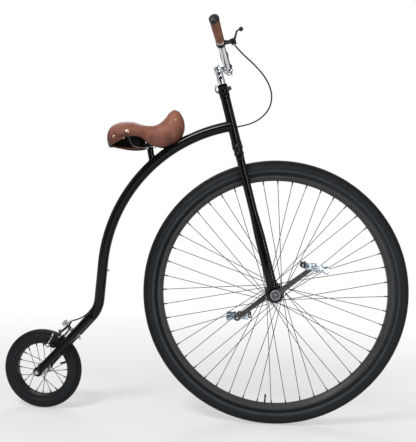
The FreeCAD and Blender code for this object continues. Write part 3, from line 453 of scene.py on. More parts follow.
class Finish(Enum):
    """The finishes of the bicycle's pieces."""

    PAINT = GlossPaint("gloss_paint", (0.003, 0.003, 0.0034), 0.07, coat=0.06)
    SATIN = GlossPaint("satin_paint", (0.005, 0.005, 0.006), 0.28, relief=(420, 2, 0.00003, 1))
    BLACK_METAL = Moulding("black_anodised", (0.008, 0.008, 0.009), 0.28, relief=ANODISED)
    CHROME = PolishedMetal("chrome", (0.68, 0.69, 0.71), 0.08)
    STEEL = PolishedMetal("plated_steel", (0.60, 0.61, 0.62), 0.24)
    SPOKE = PolishedMetal("spoke_steel", (0.04, 0.04, 0.045), 0.4)
    WIRE = PolishedMetal("wire_steel", (0.13, 0.135, 0.145))
    DARK_STEEL = PolishedMetal("dark_steel", (0.12, 0.12, 0.13), 0.36)
    ALLOY = PolishedMetal("bright_alloy", (0.66, 0.70, 0.76), 0.22)
    PEDAL_ALLOY = PolishedMetal("pedal_alloy", (0.44, 0.51, 0.57), 0.26, stretch=(2, 2, 1),
                                relief=(900, 2, *CAST))
    BRAKE_ALLOY = PolishedMetal("brake_alloy", (0.60, 0.66, 0.72), 0.26, stretch=(2, 2, 1))
    HUB_ALLOY = TurnedMetal("hub_alloy")
    # Dark hub; its lighter ring beyond 31.8 mm is a painted highlight on the flange's rim.
    DARK_HUB = TurnedMetal("dark_hub", (0.42, 0.44, 0.46), (0.045, 0.046, 0.05), 0.0318, 0.26)
    CRANK_FACE = TurnedMetal("crank_face", (0.36, 0.38, 0.40), (0.17, 0.18, 0.20), 0.0128, 0.26)
    CRANK_ARM = PolishedMetal("crank_steel", (0.098, 0.09, 0.087), stretch=(1, 5, 5),
                              relief=(900, 2, *CAST))
    BRASS = PolishedMetal("rivet_metal", (0.78, 0.52, 0.34), 0.22)
    FRONT_TYRE = TyreRubber("front_tyre_rubber")
    REAR_TYRE = TyreRubber("rear_tyre_rubber", middle=0.1195, sipes=48, wall=1.5)
    RUBBER = Rubber("rubber", (0.009, 0.009, 0.0098), 0.5)
    PAD = Rubber("pad_rubber", (0.018, 0.018, 0.018), 0.6)
    LEATHER = BurnishedLeather("leather", (0.205, 0.077, 0.050))
    GRIP_LEATHER = Leather("grip_leather", (0.196, 0.075, 0.041), 0.52, relief=(110, 3, 0.0002, 0.35),
                           pores=1100)
    THREAD = Moulding("waxed_thread", (0.12, 0.06, 0.035), 0.7)
    BLACK_PLASTIC = Moulding("black_plastic", (0.006, 0.006, 0.007))
    SHELL = Moulding("saddle_shell", (0.0022, 0.0018, 0.0016), 0.5, 0.05, relief=(900, 2, 0.00003, 1))
    RIM = Moulding("rim_anodised", (0.009, 0.0095, 0.0098), 0.4, 0.2, relief=ANODISED)
    FRONT_RIM = EdgedMoulding("front_rim_anodised", (0.034, 0.037, 0.039), 0.4, 0.2, relief=ANODISED)
    CABLE = Moulding("cable_housing", (0.006, 0.006, 0.007))
    REFLECTOR = PrismLens("reflector_lens")


SLOT_FINISH = {
    "frame_paint": Finish.PAINT,
    "rim_paint": Finish.SATIN,
    "tyre": Finish.RUBBER,
    "steel": Finish.STEEL,
    "dark_steel": Finish.DARK_STEEL,
    "chrome": Finish.CHROME,
    "alloy": Finish.ALLOY,
    "leather": Finish.LEATHER,
    "black_plastic": Finish.BLACK_PLASTIC,
    "cable": Finish.CABLE,
    "rubber": Finish.PAD,
    "reflector": Finish.REFLECTOR,
}

NODE_FINISH = {
    "saddle_rails": Finish.BLACK_METAL,
    "saddle_clamp": Finish.BLACK_METAL,
    "steerer": Finish.DARK_STEEL,
    "rear_axle": Finish.STEEL,
}


@cache
def material(finish: Finish) -> bpy.types.Material:
    """The material of a finish, built once."""
    return finish.value.material()


def dress(piece: bpy.types.Object, finish: Finish) -> None:
    """Give a piece one finish all over."""
    piece.data.materials.clear()
    piece.data.materials.append(material(finish))


# ---------------- shapes


def fillet(corners: Outline, radius: float, closed: bool = True, steps: int = 3) -> Outline:
    """Round the corners of an outline.

    Args:
        corners: The sharp outline.
        radius: How far from each corner the rounding starts, where there is room.
        closed: Whether the outline closes on itself.
        steps: Short edges in each rounding.

    Returns:
        The rounded outline.
    """
    rounded: Outline = []
    count = len(corners)
    for index, corner in enumerate(corners):
        if not closed and index in (0, count - 1):
            rounded.append(corner)
            continue
        here = Vector(corner)
        start, end = (here + edge.normalized() * min(radius, 0.45 * edge.length)
                      for edge in (Vector(corners[index - 1]) - here,
                                   Vector(corners[(index + 1) % count]) - here))
        for share in (step / steps for step in range(steps + 1)):
            rounded.append(tuple(start.lerp(here, share).lerp(here.lerp(end, share), share)))
    return rounded


def heading_at(line: list[Vector], index: int) -> Vector:
    """The direction of a closed line at one of its points."""
    return (line[(index + 1) % len(line)] - line[index - 1]).normalized()


def inset(outline: Outline, depth: float) -> Outline:
    """Move a closed outline inwards.

    Args:
        outline: The outline, turning either way.
        depth: How far in.

    Returns:
        The smaller outline.
    """
    line = [Vector(point) for point in outline]
    inwards = math.copysign(depth, sum(line[index - 1].cross(point) for index, point in enumerate(line)))
    ahead = [heading_at(line, index) for index in range(len(line))]
    return [(point.x - way.y * inwards, point.y + way.x * inwards) for point, way in zip(line, ahead)]


def rectangle(width: float, depth: float) -> Outline:
    """The corners of a rectangle about the origin."""
    return [(x * width / 2, y * depth / 2) for x, y in ((-1, -1), (1, -1), (1, 1), (-1, 1))]


def mirrored(half: Outline) -> Outline:
    """An outline made of one half above the X axis and its mirror image."""
    return half + [(x, -y) for x, y in reversed(half)]


def arc(radius: float, start: float, end: float, steps: int) -> Outline:
    """Points along an arc about the origin, from one angle to another."""
    angles = [math.radians(start + (end - start) * step / steps) for step in range(steps + 1)]
    return [(radius * math.cos(angle), radius * math.sin(angle)) for angle in angles]


def circle(steps: int) -> list[Pair]:
    """The cosines and sines of a full turn's even steps."""
    angles = [2 * math.pi * step / steps for step in range(steps)]
    return [(math.cos(angle), math.sin(angle)) for angle in angles]


def smooth_step(low: float, high: float, value: float) -> float:
    """How far a value is from low to high, eased at both ends."""
    share = min(1, max(0, (value - low) / (high - low)))
    return share * share * (3 - 2 * share)


def through(stations: "list[Pair] | tuple[Pair, ...]", place: float) -> float:
    """A smooth curve's height.

    Args:
        stations: Places with their heights, in rising order.
        place: Where the height is wanted.

    Returns:
        The height there.
    """
    last = len(stations) - 1
    index = max(0, min(last - 1, sum(1 for station in stations if station[0] <= place) - 1))

    def slope(at: int) -> float:
        """The curve's slope at a station."""
        (start, foot), (end, top) = stations[max(0, at - 1)], stations[min(last, at + 1)]
        return (top - foot) / (end - start)

    (start, foot), (end, top) = stations[index:index + 2]
    share = min(1, max(0, (place - start) / (end - start)))
    leaving, meeting = slope(index) * (end - start), slope(index + 1) * (end - start)
    cubic = leaving + meeting - 2 * (top - foot)
    return foot + share * (leaving + share * (top - foot - leaving - cubic + share * cubic))


def smooth_path(points: "list[Vector | Point] | tuple[Point, ...]", steps: int = 6) -> list[Vector]:
    """A smooth line through a few points.

    Args:
        points: The points that it passes.
        steps: Runs between two of them.

    Returns:
        The line's points.
    """
    stops = [Vector(point) for point in points]
    last = len(stops) - 1
    line = []
    for index in range(last):
        before, start, end, after = (stops[min(last, max(0, index + step))] for step in (-1, 0, 1, 2))
        for t in (step / steps for step in range(steps)):
            line.append(0.5 * (2 * start + (end - before) * t
                               + (2 * before - 5 * start + 4 * end - after) * t * t
                               + (3 * start - before - 3 * end + after) * t * t * t))
    return line + [stops[-1]]


def aim(start: Vector, end: Vector) -> Matrix:
    """A frame at one point with its Z axis towards another."""
    return Matrix.Translation(start) @ (end - start).to_track_quat("Z", "Y").to_matrix().to_4x4()


def shift(x: float = 0, y: float = 0, z: float = 0) -> Matrix:
    """A plain move."""
    return Matrix.Translation((x, y, z))


def turn(degrees: float, axis: str = "Z") -> Matrix:
    """A turn about one of the frame's own axes."""
    return Matrix.Rotation(math.radians(degrees), 4, axis)


def facing(way: float) -> Matrix:
    """A frame that is turned over where the way is negative."""
    return turn(0 if way > 0 else 180, "X")


class Shape:
    """A mesh under construction, in millimetres in its sub-assembly's frame."""

    def __init__(self) -> None:
        """Start with nothing."""
        self.mesh = bmesh.new()

    def skin(self, rings: list[list[Vector]], around: bool = True, along: bool = False,
             ends: bool = True) -> None:
        """Join rings of points into a surface.

        Args:
            rings: Rings with the same number of points.
            around: Whether each ring closes on itself.
            along: Whether the last ring joins the first.
            ends: Whether the open ends are closed with flat faces.
        """
        rows = [[self.mesh.verts.new(point) for point in ring] for ring in rings]
        count = len(rows[0])
        for low, high in zip(rows, rows[1:] + rows[:1] if along else rows[1:]):
            for index in range(count if around else count - 1):
                after = (index + 1) % count
                self.mesh.faces.new((low[index], low[after], high[after], high[index]))
        if ends and around and not along:
            self.mesh.faces.new(rows[0][::-1])
            self.mesh.faces.new(rows[-1])

    def lathe(self, profile: Outline, place: Matrix = Matrix(), steps: int = 48, edge: float = 0,
              closed: "bool | None" = None, rounds: int = 3) -> None:
        """Turn a profile about the place's Z axis.

        Args:
            profile: Its points as radius and height.
            place: The axis.
            steps: How many faces go round.
            edge: The size of its eased edges.
            closed: Whether the profile is a closed outline; if unsaid, whether it starts off the axis.
            rounds: Short runs in each eased edge.
        """
        if closed is None:
            closed = profile[0][0] > 0.001
        if edge:
            profile = fillet(profile, edge, closed, rounds)
        self.skin([[place @ (Vector((x, y, 0)) * radius + UP * height) for radius, height in profile]
                   for x, y in circle(steps)], around=closed, along=True)

    def drum(self, radius: float, low: float, high: float, place: Matrix = Matrix(), edge: float = 0.8,
             steps: int = 32, inner: float = 0, rounds: int = 3) -> None:
        """A short round bar or ring with eased edges.

        Args:
            radius: Its radius.
            low: One end along the place's Z axis.
            high: The other end.
            place: The axis.
            edge: The size of the eased edges.
            steps: How many faces go round.
            inner: The radius of its bore.
            rounds: Short runs in each eased edge.
        """
        profile = [(inner, low), (radius, low), (radius, high), (inner, high)]
        self.lathe(profile, place, steps, edge, rounds=rounds)

    def dome(self, radius: float, height: float, place: Matrix, base: float = 0.6, steps: int = 24) -> None:
        """A low dome, such as a rivet's or a cap's.

        Args:
            radius: Its radius.
            height: How high its middle stands.
            place: Its foot, with Z outwards.
            base: The height of its straight edge.
            steps: How many faces go round.
        """
        crown = [(radius * x, base + (height - base) * y) for x, y in arc(1, 0, 90, 5)]
        self.lathe([(0, -0.4), (radius, -0.4)] + crown, place, steps)

    def slab(self, outline: Outline, low: float, high: float, place: Matrix = Matrix(),
             edge: float = 0.6) -> None:
        """A plate of an outline, with eased edges.

        Args:
            outline: Its closed outline in the place's XY plane.
            low: Its underside along Z.
            high: Its top.
            place: The plate's frame.
            edge: The size of the eased edges.
        """
        levels = [(edge, low), (edge * 0.3, low + edge * 0.3), (0, low + edge),
                  (0, high - edge), (edge * 0.3, high - edge * 0.3), (edge, high)]
        self.skin([[place @ Vector((x, y, height)) for x, y in inset(outline, depth)]
                   for depth, height in levels])

    def block(self, sides: Point, place: Matrix = Matrix(), corner: float = 1.5, edge: float = 0.6) -> None:
        """A rounded block centred on its frame.

        Args:
            sides: Its three sides.
            place: Its frame.
            corner: The rounding of its upright corners.
            edge: The size of its eased edges.
        """
        self.slab(fillet(rectangle(*sides[:2]), corner), -sides[2] / 2, sides[2] / 2, place, edge)

    def ridges(self, count: int, sides: Point, out: float, along: float, place: Matrix) -> None:
        """Fine ridges round a turned part.

        Args:
            count: How many there are.
            sides: Each one's sides.
            out: Its distance from the axis.
            along: Its place along the axis.
            place: The axis.
        """
        for step in range(count):
            self.block(sides, place @ turn(360 / count * step) @ shift(x=out, z=along), 0.2, 0.15)

    def hexagon(self, radius: float, low: float, high: float, place: Matrix, edge: float = 0.7) -> None:
        """A six-sided nut or bolt head, its radius measured over the corners."""
        self.slab(fillet(arc(radius, 0, 300, 5), 0.6), low, high, place, edge)

    def bolt(self, radius: float, height: float, place: Matrix) -> None:
        """The head of a socket-head bolt, its foot on the place and Z outwards."""
        self.lathe([(0, -0.5), (radius, -0.5), (radius, height - 0.6), (radius - 0.6, height),
                    (radius * 0.58, height), (radius * 0.52, height - 0.3), (radius * 0.5, height * 0.45),
                    (0, height * 0.38)], place, 18)

    def tube(self, path: list[Vector], radius: "float | list[float]", sides: int = 16, domed: bool = False,
             widen: float = 1) -> None:
        """A round bar along a path.

        Args:
            path: The points along its middle.
            radius: Its radius, or one for each point.
            sides: How many faces go round.
            domed: Whether its ends are round instead of flat.
            widen: How much wider than thick its section is.
        """
        last = len(path) - 1
        radii = radius if isinstance(radius, list) else [radius] * len(path)
        headings = [(path[min(i + 1, last)] - path[max(i - 1, 0)]).normalized() for i in range(last + 1)]
        across = headings[0].orthogonal().normalized()
        if abs(headings[0].y) < 0.8:
            across = (Vector((0, 1, 0)) - headings[0] * headings[0].y).normalized()
        stations = []
        for point, heading, size in zip(path, headings, radii):
            across = (across - heading * across.dot(heading)).normalized()
            stations.append((point, heading, across, size))
        if domed:
            tail, tip = ([(point + heading * (way * size * lift), heading, side, size * shrink)
                          for lift, shrink in ((0.45, 0.88), (0.8, 0.6), (0.96, 0.28))]
                         for way, (point, heading, side, size) in zip(SIDES, (stations[0], stations[-1])))
            stations = tail[::-1] + stations + tip
        self.skin([[point + (side * (widen * x) + heading.cross(side) * y) * size for x, y in circle(sides)]
                   for point, heading, side, size in stations])


def stand(name: str, data: "bpy.types.ID", place: Matrix) -> bpy.types.Object:
    """Put a camera, a lamp or a mesh into the scene.

    Args:
        name: The object's name.
        data: What it shows.
        place: Its frame.

    Returns:
        The object.
    """
    piece = bpy.data.objects.new(name, data)
    piece.matrix_world = place
    bpy.context.scene.collection.objects.link(piece)
    return piece


@dataclass
class Assembly:
    """Pieces that stand in one frame, in millimetres, and ride on one body."""

    place: Matrix
    body: Body

    def make(self, name: str, shape: Shape, finish: Finish, crease: float = 38) -> bpy.types.Object:
        """Make a piece of a shape, before it rides on anything.

        Args:
            name: The piece's name.
            shape: Its shape.
            finish: Its finish.
            crease: Edges sharper than this many degrees stay sharp.

        Returns:
            The piece.
        """
        form = shape.mesh
        bmesh.ops.remove_doubles(form, verts=form.verts, dist=0.002)
        bmesh.ops.recalc_face_normals(form, faces=form.faces)
        bmesh.ops.scale(form, vec=(MM, MM, MM), verts=form.verts)
        for face in form.faces:
            face.smooth = True
        mesh = bpy.data.meshes.new(name)
        form.to_mesh(mesh)
        form.free()
        mesh.set_sharp_from_angle(angle=math.radians(crease))
        where = self.place.copy()
        where.translation *= MM
        piece = stand(name, mesh, where)
        dress(piece, finish)
        LOG.info("  %s: %s, %d faces", name, finish.name.lower(), len(mesh.polygons))
        return piece

    def fit(self, name: str, shape: Shape, finish: Finish, *replaced: str, crease: float = 38) -> None:
        """Make a piece of a shape and set it on the body.

        Args:
            name: The piece's name.
            shape: Its shape.
            finish: Its finish.
            replaced: The CAD nodes that it stands for.
            crease: Edges sharper than this many degrees stay sharp.
        """
        piece = self.make(name, shape, finish, crease)
        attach(piece, self.body.value)
        if replaced:
            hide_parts(*replaced)


# ---------------- the bicycle's own frames


@dataclass(frozen=True)
class Layout:
    """Where the bicycle's main frames stand, in millimetres and degrees."""

    rider: Point = (-450, 0, 1023)
    front_radius: float = 455
    rear_radius: float = 143.5
    wheelbase: float = 827.8
    head_tilt: float = 15.4
    rake: float = 4
    steer_rest: float = 5.2
    bar_rest: float = 3.6
    crank_angle: float = 38.8
    stay_lean: float = 46.9

    def ride(self) -> Matrix:
        """The frame on the ground below the front axle."""
        return Matrix.Translation(-Vector(self.rider))

    def steered(self, degrees: float) -> Matrix:
        """The steering axis's frame, with Z up the axis and X ahead.

        Args:
            degrees: How far it is turned to the left.

        Returns:
            The frame.
        """
        tilt = turn(-self.head_tilt, "Y")
        axis, across = tilt @ UP, tilt @ Vector((1, 0, 0))
        foot = Vector((0, 0, self.front_radius)) - across * self.rake
        swing = Matrix.Rotation(math.radians(degrees), 4, axis)
        return self.ride() @ Matrix.Translation(foot) @ swing @ tilt

    def head(self) -> Matrix:
        """The head tube's frame."""
        return self.steered(0)

    def fork(self) -> Matrix:
        """The fork's frame."""
        return self.steered(self.steer_rest)

    def bars(self) -> Matrix:
        """The handlebar's frame."""
        return self.steered(self.bar_rest)

    def front(self) -> Matrix:
        """The front axle's frame, with Z to the right."""
        return self.fork() @ shift(x=self.rake) @ turn(self.head_tilt, "Y") @ turn(90, "X")

    def rear(self) -> Matrix:
        """The rear axle's frame, with Z to the right."""
        return self.ride() @ shift(x=-self.wheelbase, z=self.rear_radius) @ turn(90, "X")

    def crank(self) -> Matrix:
        """The cranks' frame on the front axle, with X along the right crank."""
        return self.front() @ turn(self.crank_angle)

    def stay(self) -> Matrix:
        """The rear fork's frame on the rear axle, with X up the fork."""
        return self.rear() @ turn(self.stay_lean)


LAYOUT = Layout()


@dataclass(frozen=True)
class Backbone:
    """The line of the bent tube, in ride coordinates."""

    start: Point = (-163, 0, 1024.9)
    heading: float = 191.73
    # Each straight run with the radius and the turn of the bend after it.
    runs: tuple[Point, ...] = ((15.1, 545, 73.3), (130.2, 109.5, -37), (75, 0, 0))
    tube: float = 18.4

    def at(self, distance: float) -> tuple[Vector, Vector]:
        """A point on the line and the line's direction there.

        Args:
            distance: How far along the line it is.

        Returns:
            The point and the direction.
        """
        place, ahead = Vector(self.start), turn(-self.heading, "Y").to_3x3() @ Vector((1, 0, 0))
        for run, radius, bend in self.runs:
            step = min(distance, run) if radius else distance
            place, distance = place + ahead * step, distance - step
            if distance <= 0:
                break
            way = math.copysign(1, bend)
            swept = min(distance / radius, math.radians(abs(bend)))
            swing = Matrix.Rotation(-swept * way, 3, "Y")
            side = Vector((-ahead.z, 0, ahead.x)) * (radius * way)
            place, ahead = place + side - swing @ side, swing @ ahead
            distance -= swept * radius
            if distance <= 1e-9:
                break
        return place, ahead

    def beside(self, distance: float, angle: float, reach: float) -> Vector:
        """A point beside the tube.

        Args:
            distance: How far along the line it is.
            angle: Its angle from the left side towards the outside of the arch.
            reach: Its distance from the tube's middle.

        Returns:
            The point.
        """
        middle, ahead = self.at(distance)
        swing = math.radians(angle)
        out = Vector((ahead.z * math.sin(swing), math.cos(swing), -ahead.x * math.sin(swing)))
        return middle + out * reach


BACKBONE = Backbone()


# ---------------- wheels


@dataclass
class Wheel(Assembly):
    """A wheel with a round tyre, a box rim, crossed spokes and a flanged hub.

    Its frame stands on the axle, with Z to the right.
    """

    name: str
    radius: float
    section: float
    rim_outer: float
    rim_bed: float
    rim_inner: float
    rim_half: float
    spoke_count: int
    cross_turn: float
    hole_ring: float
    flange_half: float
    hub: Outline
    hub_finish: Finish
    tyre_finish: Finish
    rim_finish: Finish
    valve_angle: float
    valve_length: float
    spoke: float = 1.15
    rim_wall: float = 1.8
    gap: float = 0.3
    steps: int = 168
    # Angles from the crest where the tyre's section has a plain point.
    marks: tuple[float, ...] = (6, 11, 22, 37, 50, 62, 66, 80, 88, 106, 112, 124)
    # Grooves round the tyre: angle from the crest, width and depth.
    grooves: tuple[Point, ...] = ((0, 2.2, 0.9), (15, 2, 0.9), (30, 2, 1), (44, 1.6, 0.8), (56, 2.2, 1.2),
                                  (72, 0.9, 0.45), (98, 0.9, 0.4), (118, 1.4, 0.6))

    def tyre_profile(self) -> Outline:
        """The tyre's section, from one bead over the crest to the other."""
        middle = self.radius - self.section
        limit = math.degrees(math.acos((self.rim_outer + self.gap - middle) / self.section))
        marks = {(angle, 0) for angle in (*self.marks, limit)}
        for angle, width, depth in self.grooves:
            half = math.degrees(width / 2 / self.section)
            marks |= {(angle + half * share, low)
                      for share, low in ((-1.25, 0), (-0.75, depth), (0.75, depth), (1.25, 0))}
        right = sorted(mark for mark in marks if 0 < mark[0] <= limit)
        profile = []
        for angle, depth in [(-angle, depth) for angle, depth in reversed(right)] + right:
            swing, reach = math.radians(angle), self.section - depth
            profile.append((middle + reach * math.cos(swing), reach * math.sin(swing)))
        bead = self.rim_half - self.rim_wall - self.gap
        seat, bed = self.rim_outer + self.gap, self.rim_bed + self.gap
        return profile + [(seat, bead), (bed, bead), (bed, -bead), (seat, -bead)]

    def rim_profile(self) -> Outline:
        """The rim's section, with its flanges, bed and inner wall."""
        half, wall, bed = self.rim_half, self.rim_wall, self.rim_bed
        ends = [(self.rim_outer, half), (self.rim_outer, half - wall), (bed, half - wall)]
        back = [(bed - 4, half), (self.rim_inner, half * 0.55)]
        return ends + mirrored(ends)[3:] + mirrored(back)[:1:-1] + back[::-1]

    def spoke_lines(self) -> list[tuple[Vector, Vector, Vector, float]]:
        """Each spoke's head, elbow, rim end and the way that its head stands through the flange."""
        lines = []
        for index in range(self.spoke_count):
            side, lean = SIDES[index % 2], SIDES[index // 2 % 2]
            rim_angle = 2 * math.pi * index / self.spoke_count
            hub_angle = rim_angle + lean * math.radians(self.cross_turn)
            ends = ((self.hole_ring, hub_angle, side * (self.flange_half + lean * (1.6 + self.spoke))),
                    (self.rim_inner - self.gap, rim_angle, side * 4))
            head, rim = (Vector((reach * math.cos(angle), reach * math.sin(angle), level))
                         for reach, angle, level in ends)
            run = Vector((rim.x - head.x, rim.y - head.y, 0)).normalized()
            lines.append((head, head + run * 15, rim, -side * lean))
        return lines

    def build(self) -> None:
        """Make the wheel's pieces."""
        tyre, rim, hub = Shape(), Shape(), Shape()
        tyre.lathe(self.tyre_profile(), steps=self.steps)
        self.fit(f"{self.name}_tyre_cover", tyre, self.tyre_finish, f"{self.name}_tyre", crease=50)
        rim.lathe(self.rim_profile(), steps=self.steps, edge=1.6)
        self.fit(f"{self.name}_rim_box", rim, self.rim_finish, f"{self.name}_rim")
        self.build_spokes()
        hub.lathe(mirrored(self.hub), steps=64, closed=False, edge=1.2, rounds=2)
        self.fit(f"{self.name}_hub_shell", hub, self.hub_finish, f"{self.name}_hub")
        self.build_valve()

    def build_spokes(self) -> None:
        """Make the spokes with their heads, and the nipples."""
        wires, nipples = Shape(), Shape()
        for head, elbow, rim, through_way in self.spoke_lines():
            start, end = elbow + (head - elbow) * 0.3, elbow + (rim - elbow).normalized() * 4.5
            bend = start.lerp(elbow, 0.5).lerp(elbow.lerp(end, 0.5), 0.4)
            wires.tube([head, start, bend, end, rim], self.spoke, 8)
            out = UP * through_way
            wires.drum(self.spoke, -0.5, 4.9, aim(head, head + out), 0.2, 8)
            wires.dome(self.spoke * 2, 1.3, aim(head + out * 4.2, head + out * 9), 0.4, 10)
            nipples.lathe([(0, -1), (3.1, -1), (3.1, 1.2), (2.1, 2.4), (2.1, 11.5), (1.2, 12.5), (0, 12.5)],
                          aim(rim, rim + (elbow - rim).normalized()), 10, edge=0.4, rounds=2)
        self.fit(f"{self.name}_spoke_wires", wires, Finish.SPOKE, f"{self.name}_spokes")
        self.fit(f"{self.name}_nipples", nipples, Finish.BLACK_METAL)

    def build_valve(self) -> None:
        """Make the valve with its ridged cap."""
        valve, long = Shape(), self.valve_length
        inward = turn(self.valve_angle) @ shift(x=self.rim_inner - self.gap) @ turn(-90, "Y")
        valve.lathe([(radius, long * share) for radius, share in (
            (0, 0), (3.2, 0), (3, 0.45), (2.4, 0.5), (2.4, 0.6), (3.1, 0.62), (3.1, 0.96), (2.6, 1), (0, 1))],
            inward, 20, edge=0.4)
        valve.ridges(10, (0.5, 0.7, long * 0.3), 3.05, long * 0.79, inward)
        self.fit(f"{self.name}_valve_stem", valve, Finish.RUBBER, f"{self.name}_valve")


def front_wheel() -> Wheel:
    """The tall driven wheel."""
    return Wheel(
        LAYOUT.front(), Body.FRONT_WHEEL, "front",
        radius=455, section=25.5, rim_outer=412, rim_bed=401, rim_inner=385, rim_half=19.5,
        spoke_count=48, cross_turn=60, hole_ring=30, flange_half=24,
        hub=[(0, 57.7), (9, 57.7), (9, 28), (12, 28), (12, 26.5), (22, 26.5), (26, 25.5),
             (34, 25.5), (34, 22.5), (27, 22.5), (21, 20.5), (19, 14), (17.5, 8)],
        hub_finish=Finish.DARK_HUB, tyre_finish=Finish.FRONT_TYRE, rim_finish=Finish.FRONT_RIM,
        valve_angle=-93.4, valve_length=30)


def rear_wheel() -> Wheel:
    """The small trailing wheel."""
    return Wheel(
        LAYOUT.rear(), Body.REAR_WHEEL, "rear",
        radius=143.5, section=24, rim_outer=106, rim_bed=100, rim_inner=93.5, rim_half=18.5,
        spoke_count=20, cross_turn=72, hole_ring=18, flange_half=18.5,
        hub=[(5.05, 30), (14, 30), (14, 21.5), (16, 20), (22, 20), (22, 17), (16, 17),
             (14, 13), (12.5, 6)],
        hub_finish=Finish.HUB_ALLOY, tyre_finish=Finish.REAR_TYRE, rim_finish=Finish.RIM,
        valve_angle=18.6, valve_length=26, steps=112)


# ---------------- cranks and pedals


@dataclass
class Cranks(Assembly):
    """The two cranks and their pedal axles, in the cranks' frame on the front axle."""

    length: float = 162
    inner: float = 58
    outer: float = 72
    boss: float = 17.8
    eye: float = 11
    flare: float = 9
    arm_inset: float = 1.5
    pedal_outer: float = 182
    # Places along the arm with its width and thickness.
    arm: tuple[Point, ...] = ((6, 20.5, 10), (22, 19.8, 10.8), (60, 18.4, 10.8), (114, 16.4, 10.6),
                              (147, 15.4, 10.6), (158, 16, 10.8))

    def build(self) -> None:
        """Make both cranks and their pedal axles."""
        bosses, arms, axles = Shape(), Shape(), Shape()
        slope = math.degrees(math.atan2(self.flare, self.length))
        inner, face, boss = self.inner, self.outer, self.boss
        start = inner + self.arm_inset + self.flare + 14
        for own in (Matrix(), turn(180) @ turn(180, "X")):
            bosses.lathe([(9.1, inner), (boss - 0.8, inner), (boss, inner + 0.8), (boss, face - 1.8),
                          (boss - 1.6, face), (boss - 4.4, face), (boss - 5.6, face - 2.2), (9.8, face - 2.2),
                          (9, face - 0.6), (6.8, face - 0.6), (6, face - 1.8), (0, face - 1.8)],
                         own, 56, closed=False)
            bosses.dome(5.2, 2.2, own @ shift(z=face - 2), 0.6, 28)
            tilted = own @ shift(z=inner + self.arm_inset) @ turn(-slope, "Y")
            arms.skin([[tilted @ Vector((along, across, 5.5 + out))
                        for across, out in fillet(rectangle(width, thick), 3.4)]
                       for along, width, thick in self.arm])
            arms.drum(self.eye, 0, 14, tilted @ shift(x=self.length, z=-0.5) @ turn(slope, "Y"), 1.1, 40, 5.2)
            axle = own @ shift(x=self.length)
            axles.drum(5, start, self.pedal_outer - 4, axle, 0.5, 28)
            axles.hexagon(6.6, start + 0.2, start + 4.6, axle)
            axles.bolt(4.6, 1.6, axle @ shift(z=start - 14.6) @ turn(180, "X"))
        self.fit("crank_bosses", bosses, Finish.CRANK_FACE)
        self.fit("crank_arms", arms, Finish.CRANK_ARM, "cranks")
        self.fit("pedal_spindles", axles, Finish.STEEL, "pedal_axles")


@dataclass
class Pedal(Assembly):
    """A cage pedal with one reflector, in a frame on its own axle, with X ahead and Z to the right."""

    side: Side
    reflector_ahead: int
    inner: float = 88
    outer: float = 182
    half: float = 39
    thick: float = 23
    barrel: float = 11
    teeth: int = 12

    def end_plate(self) -> Outline:
        """The wavy outline of a cage end."""
        wave = [(self.half - 1, 9.6), (28, 10.6), (20, 7.4), (12, 8.2), (5, 11.5)]
        return fillet(mirrored(wave + [(-x, y) for x, y in reversed(wave)]), 3)

    def toothed_plate(self) -> Outline:
        """The outline of a cage side, with teeth along both edges."""
        long, high = (self.outer - self.inner) / 2, self.thick / 2
        width = (2 * long - 4) / self.teeth
        top = [(2 - long + width * (tooth + share), high - low) for tooth in range(self.teeth)
               for share, low in ((0.12, 3), (0.4, 0), (0.6, 0), (0.88, 3))]
        return mirrored([(-long, high - 3.4), *top, (long, high - 3.4)])

    def build(self) -> None:
        """Make the cage, the barrel and the reflector."""
        way, tag, half = self.side.value, self.side.name.lower(), (self.outer - self.inner) / 2
        middle = shift(z=way * (self.inner + self.outer) / 2)
        cage, barrel, case, lens = Shape(), Shape(), Shape(), Shape()
        for out in (self.inner + 2, self.outer - 2):
            cage.slab(self.end_plate(), -2, 2, shift(z=way * out), 0.7)
        for ahead in SIDES:
            upright = middle @ shift(x=ahead * (self.half - 1.6)) @ turn(90, "Y") @ turn(180, "X")
            cage.slab(self.toothed_plate(), -1.6, 1.6, upright, 0.5)
            for out in SIDES:
                rivet = middle @ shift(x=ahead * (self.half - 3.6), z=out * 36)
                cage.drum(2.6, -4, 4, rivet @ turn(90, "X"), 0.5, 14)
            for out in SIDES:
                cage.block((self.half - 8, 4, 5), middle @ shift(x=ahead * 22, z=out * 18), 1.2, 0.8)
        for ahead in (-29, 29):
            cage.bolt(3.4, 1.9, shift(x=ahead, z=way * (self.outer - 2.2)) @ facing(way))
        barrel.lathe([(5.06, -half), (9.6, -half), (9.6, 8 - half), (8, 12 - half), (7.6, 0),
                      (8.6, half - 18),
                      (self.barrel, half - 10), (self.barrel, half - 1), (9.6, half), (5.06, half)],
                     middle @ facing(way), 40, 1.2)
        cage.lathe([(5.2, 0), (8.6, 0), (8.6, 0.9), (7.8, 1.5), (5.2, 1.5)],
                   shift(z=way * (self.outer - 1.6)) @ facing(way), 30)
        self.fit(f"pedal_{tag}_cage", cage, Finish.PEDAL_ALLOY, f"pedal_{tag}")
        self.fit(f"pedal_{tag}_barrel", barrel, Finish.STEEL)
        seat = middle @ shift(x=(self.half + 6.3) * self.reflector_ahead)
        case.block((12, 16, 62), seat, 2, 1)
        for rib in (-22, 0, 22):
            case.block((11.6, 16, 1.6), seat @ shift(z=rib), 1.8, 0.3)
        lens.block((4.6, 12, 56), seat @ shift(x=3.6 * self.reflector_ahead), 0.8, 0.5)
        lens.block((5.4, 9, 63), seat, 0.8, 0.6)
        self.fit(f"reflector_case_{tag}", case, Finish.BLACK_PLASTIC, f"reflector_{tag}")
        self.fit(f"reflector_lens_{tag}", lens, Finish.REFLECTOR)


